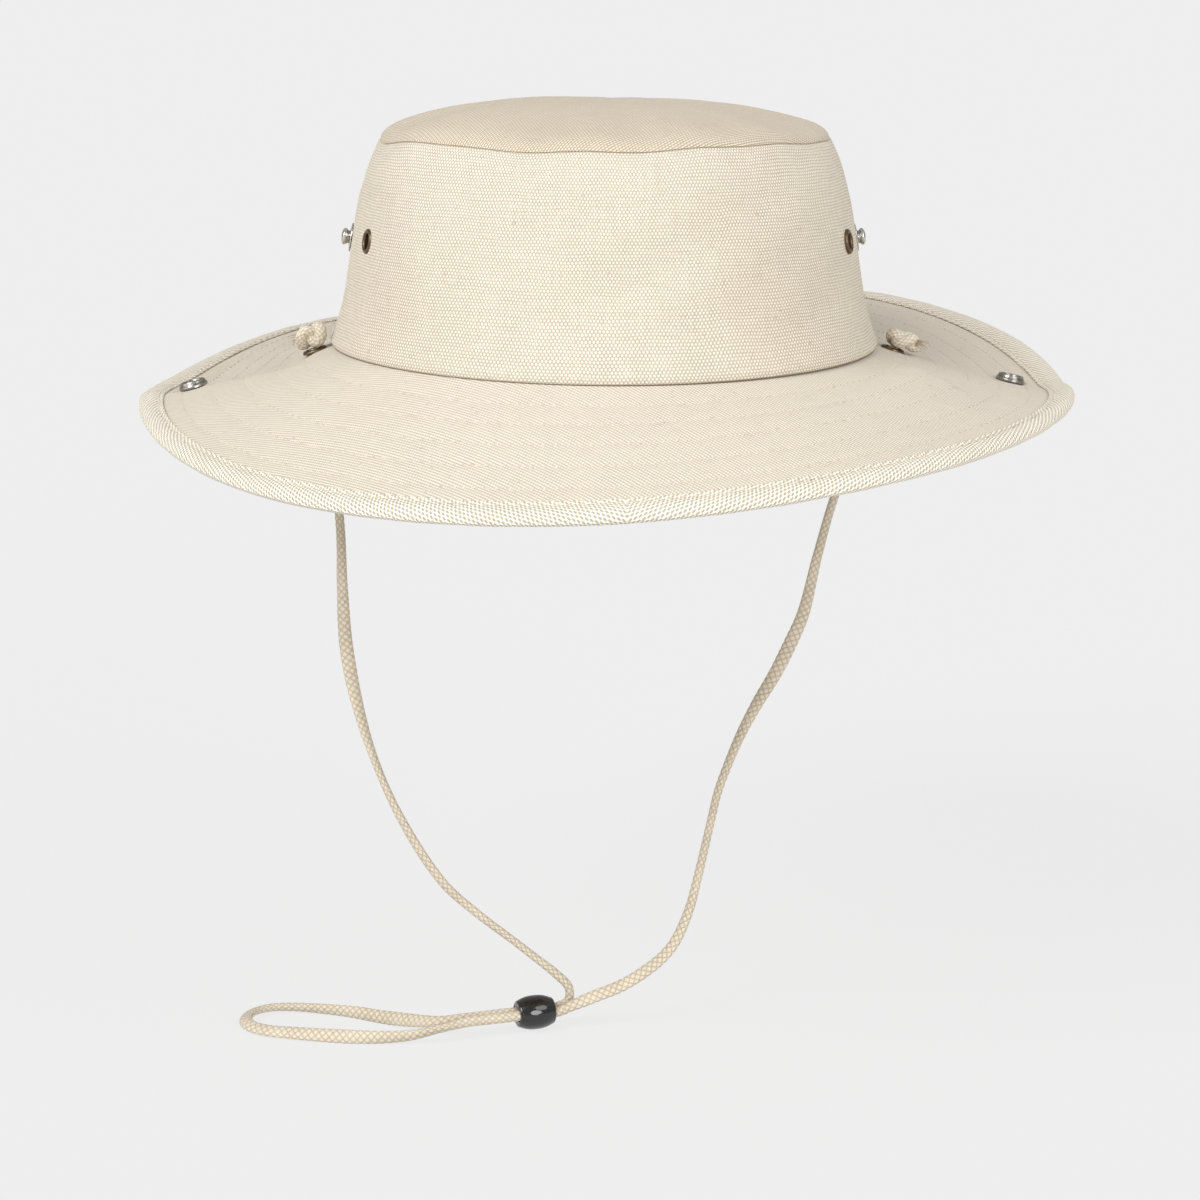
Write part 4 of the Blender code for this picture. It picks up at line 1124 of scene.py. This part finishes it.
def bead():
    """A barrel with rounded ends, and one flat hole for both strands of the cord."""
    half = BEAD_LENGTH / 2
    corner, belly = 0.0009, 0.86            # the ends' roundness, and the belly's share of the length
    inner = BEAD_RADIUS * 0.80 - corner
    profile = [(0.0, half)]
    for t in np.linspace(0, math.pi / 2, 6):
        profile.append((inner + corner * math.sin(t), half - corner + corner * math.cos(t)))
    for t in np.linspace(belly, -belly, 15):
        profile.append((BEAD_RADIUS * (1 - 0.20 * (abs(t) / belly) ** 2.4), half * t))
    for t in np.linspace(math.pi / 2, 0, 6):
        profile.append((inner + corner * math.sin(t), -half + corner - corner * math.cos(t)))
    profile.append((0.0, -half))
    piece = add_object(turned_mesh("cord_bead_moulded", profile, 96), "plastic")
    across = Vector((-BEAD_AXIS.y, BEAD_AXIS.x, 0))
    turn = Matrix((across, BEAD_AXIS.cross(across), BEAD_AXIS)).transposed().to_4x4()
    piece.matrix_world = Matrix.Translation(BEAD_CENTRE) @ turn
    bpy.context.view_layer.update()
    radius = CORD_DIAMETER / 2 + 0.0003
    outline = []
    for sense in (1, -1):
        for k in range(21):
            t = -math.pi / 2 + math.pi * k / 20
            outline.append((sense * (LANE + radius * math.cos(t)), sense * radius * math.sin(t)))
    shape = bmesh.new()
    ends = [[shape.verts.new((x, y, z)) for x, y in outline] for z in (-BEAD_LENGTH, BEAD_LENGTH)]
    shape.faces.new(ends[0])
    shape.faces.new(list(reversed(ends[1])))
    for i in range(len(outline)):
        j = (i + 1) % len(outline)
        shape.faces.new((ends[0][i], ends[1][i], ends[1][j], ends[0][j]))
    bmesh.ops.transform(shape, matrix=piece.matrix_world, verts=shape.verts)
    bmesh.ops.recalc_face_normals(shape, faces=shape.faces)
    cut_with(piece, shape, 35)
    stands_for(piece, "cord_bead", body="bead")
    return piece


# ---- light and floor ----
def broad_light(name, azimuth, height, strength):
    """A distant soft light, from an angle off the hat's front and above the floor."""
    azimuth, height = math.radians(azimuth), math.radians(height)
    level = math.cos(height)
    way = Vector((math.sin(azimuth) * level, -math.cos(azimuth) * level, math.sin(height)))
    data = bpy.data.lights.new(name, "SUN")
    data.energy = strength * math.pi
    data.angle = math.radians(30)
    lamp = link_new(name, data)
    lamp.rotation_mode = "QUATERNION"
    lamp.rotation_quaternion = way.to_track_quat("Z", "Y")


def studio():
    """Broad soft lights, and a floor that glows faintly, for the photograph's even ground."""
    bpy.context.scene.view_settings.view_transform = "Standard"
    world = bpy.data.worlds.new("studio")
    world.use_nodes = True
    background = world.node_tree.nodes["Background"]
    background.inputs["Color"].default_value = WHITE
    background.inputs["Strength"].default_value = 0.46
    bpy.context.scene.world = world
    broad_light("key", -45, 39, 0.61)
    broad_light("front_card", 25, 15, 0.38)
    broad_light("left_card", -75, 15, 0.14)
    broad_light("right_card", 50, 40, 0.17)
    corners = [(60.0 * x, 60.0 * y, FLOOR_Z) for x, y in ((-1, -1), (1, -1), (1, 1), (-1, 1))]
    mesh = bpy.data.meshes.new("floor")
    mesh.from_pydata(corners, [], [range(4)])
    glow = {"Specular IOR Level": 0.0, "Emission Color": WHITE, "Emission Strength": 0.77}
    mesh.materials.append(Look("pale_floor", (0.08, 0.08, 0.08), 0.9, glow).made)
    link_new("floor", mesh)


# ---- the whole hat ----
photo_camera()
cord, cord_path, cord_length = chin_cord()
knots = [knot(side, sign) for side, sign in SIDES.items()]
cord_bead = bead()

crown()
sweatband()
for side, sign in SIDES.items():
    cloth = brim_cloth(side, sign)
    punch(cloth, [brim_place(sign * EYELET_ANGLE, EYELET_OUT)])
    tape = bound_edge(side, sign)
    flap_nodes = [f"{side}_flap_{layer}" for layer in ("top_ply", "interlining", "under_ply")]
    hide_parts(*flap_nodes, "brim_top_ply", "brim_interlining", "brim_under_ply")
    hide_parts(f"{side}_flap_binding", "binding_front", "binding_back")
    for piece in (cloth, tape, brim_stitching(side, sign), binding_stitching(side, sign)):
        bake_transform(piece)
    hardware(side, sign)
studio()
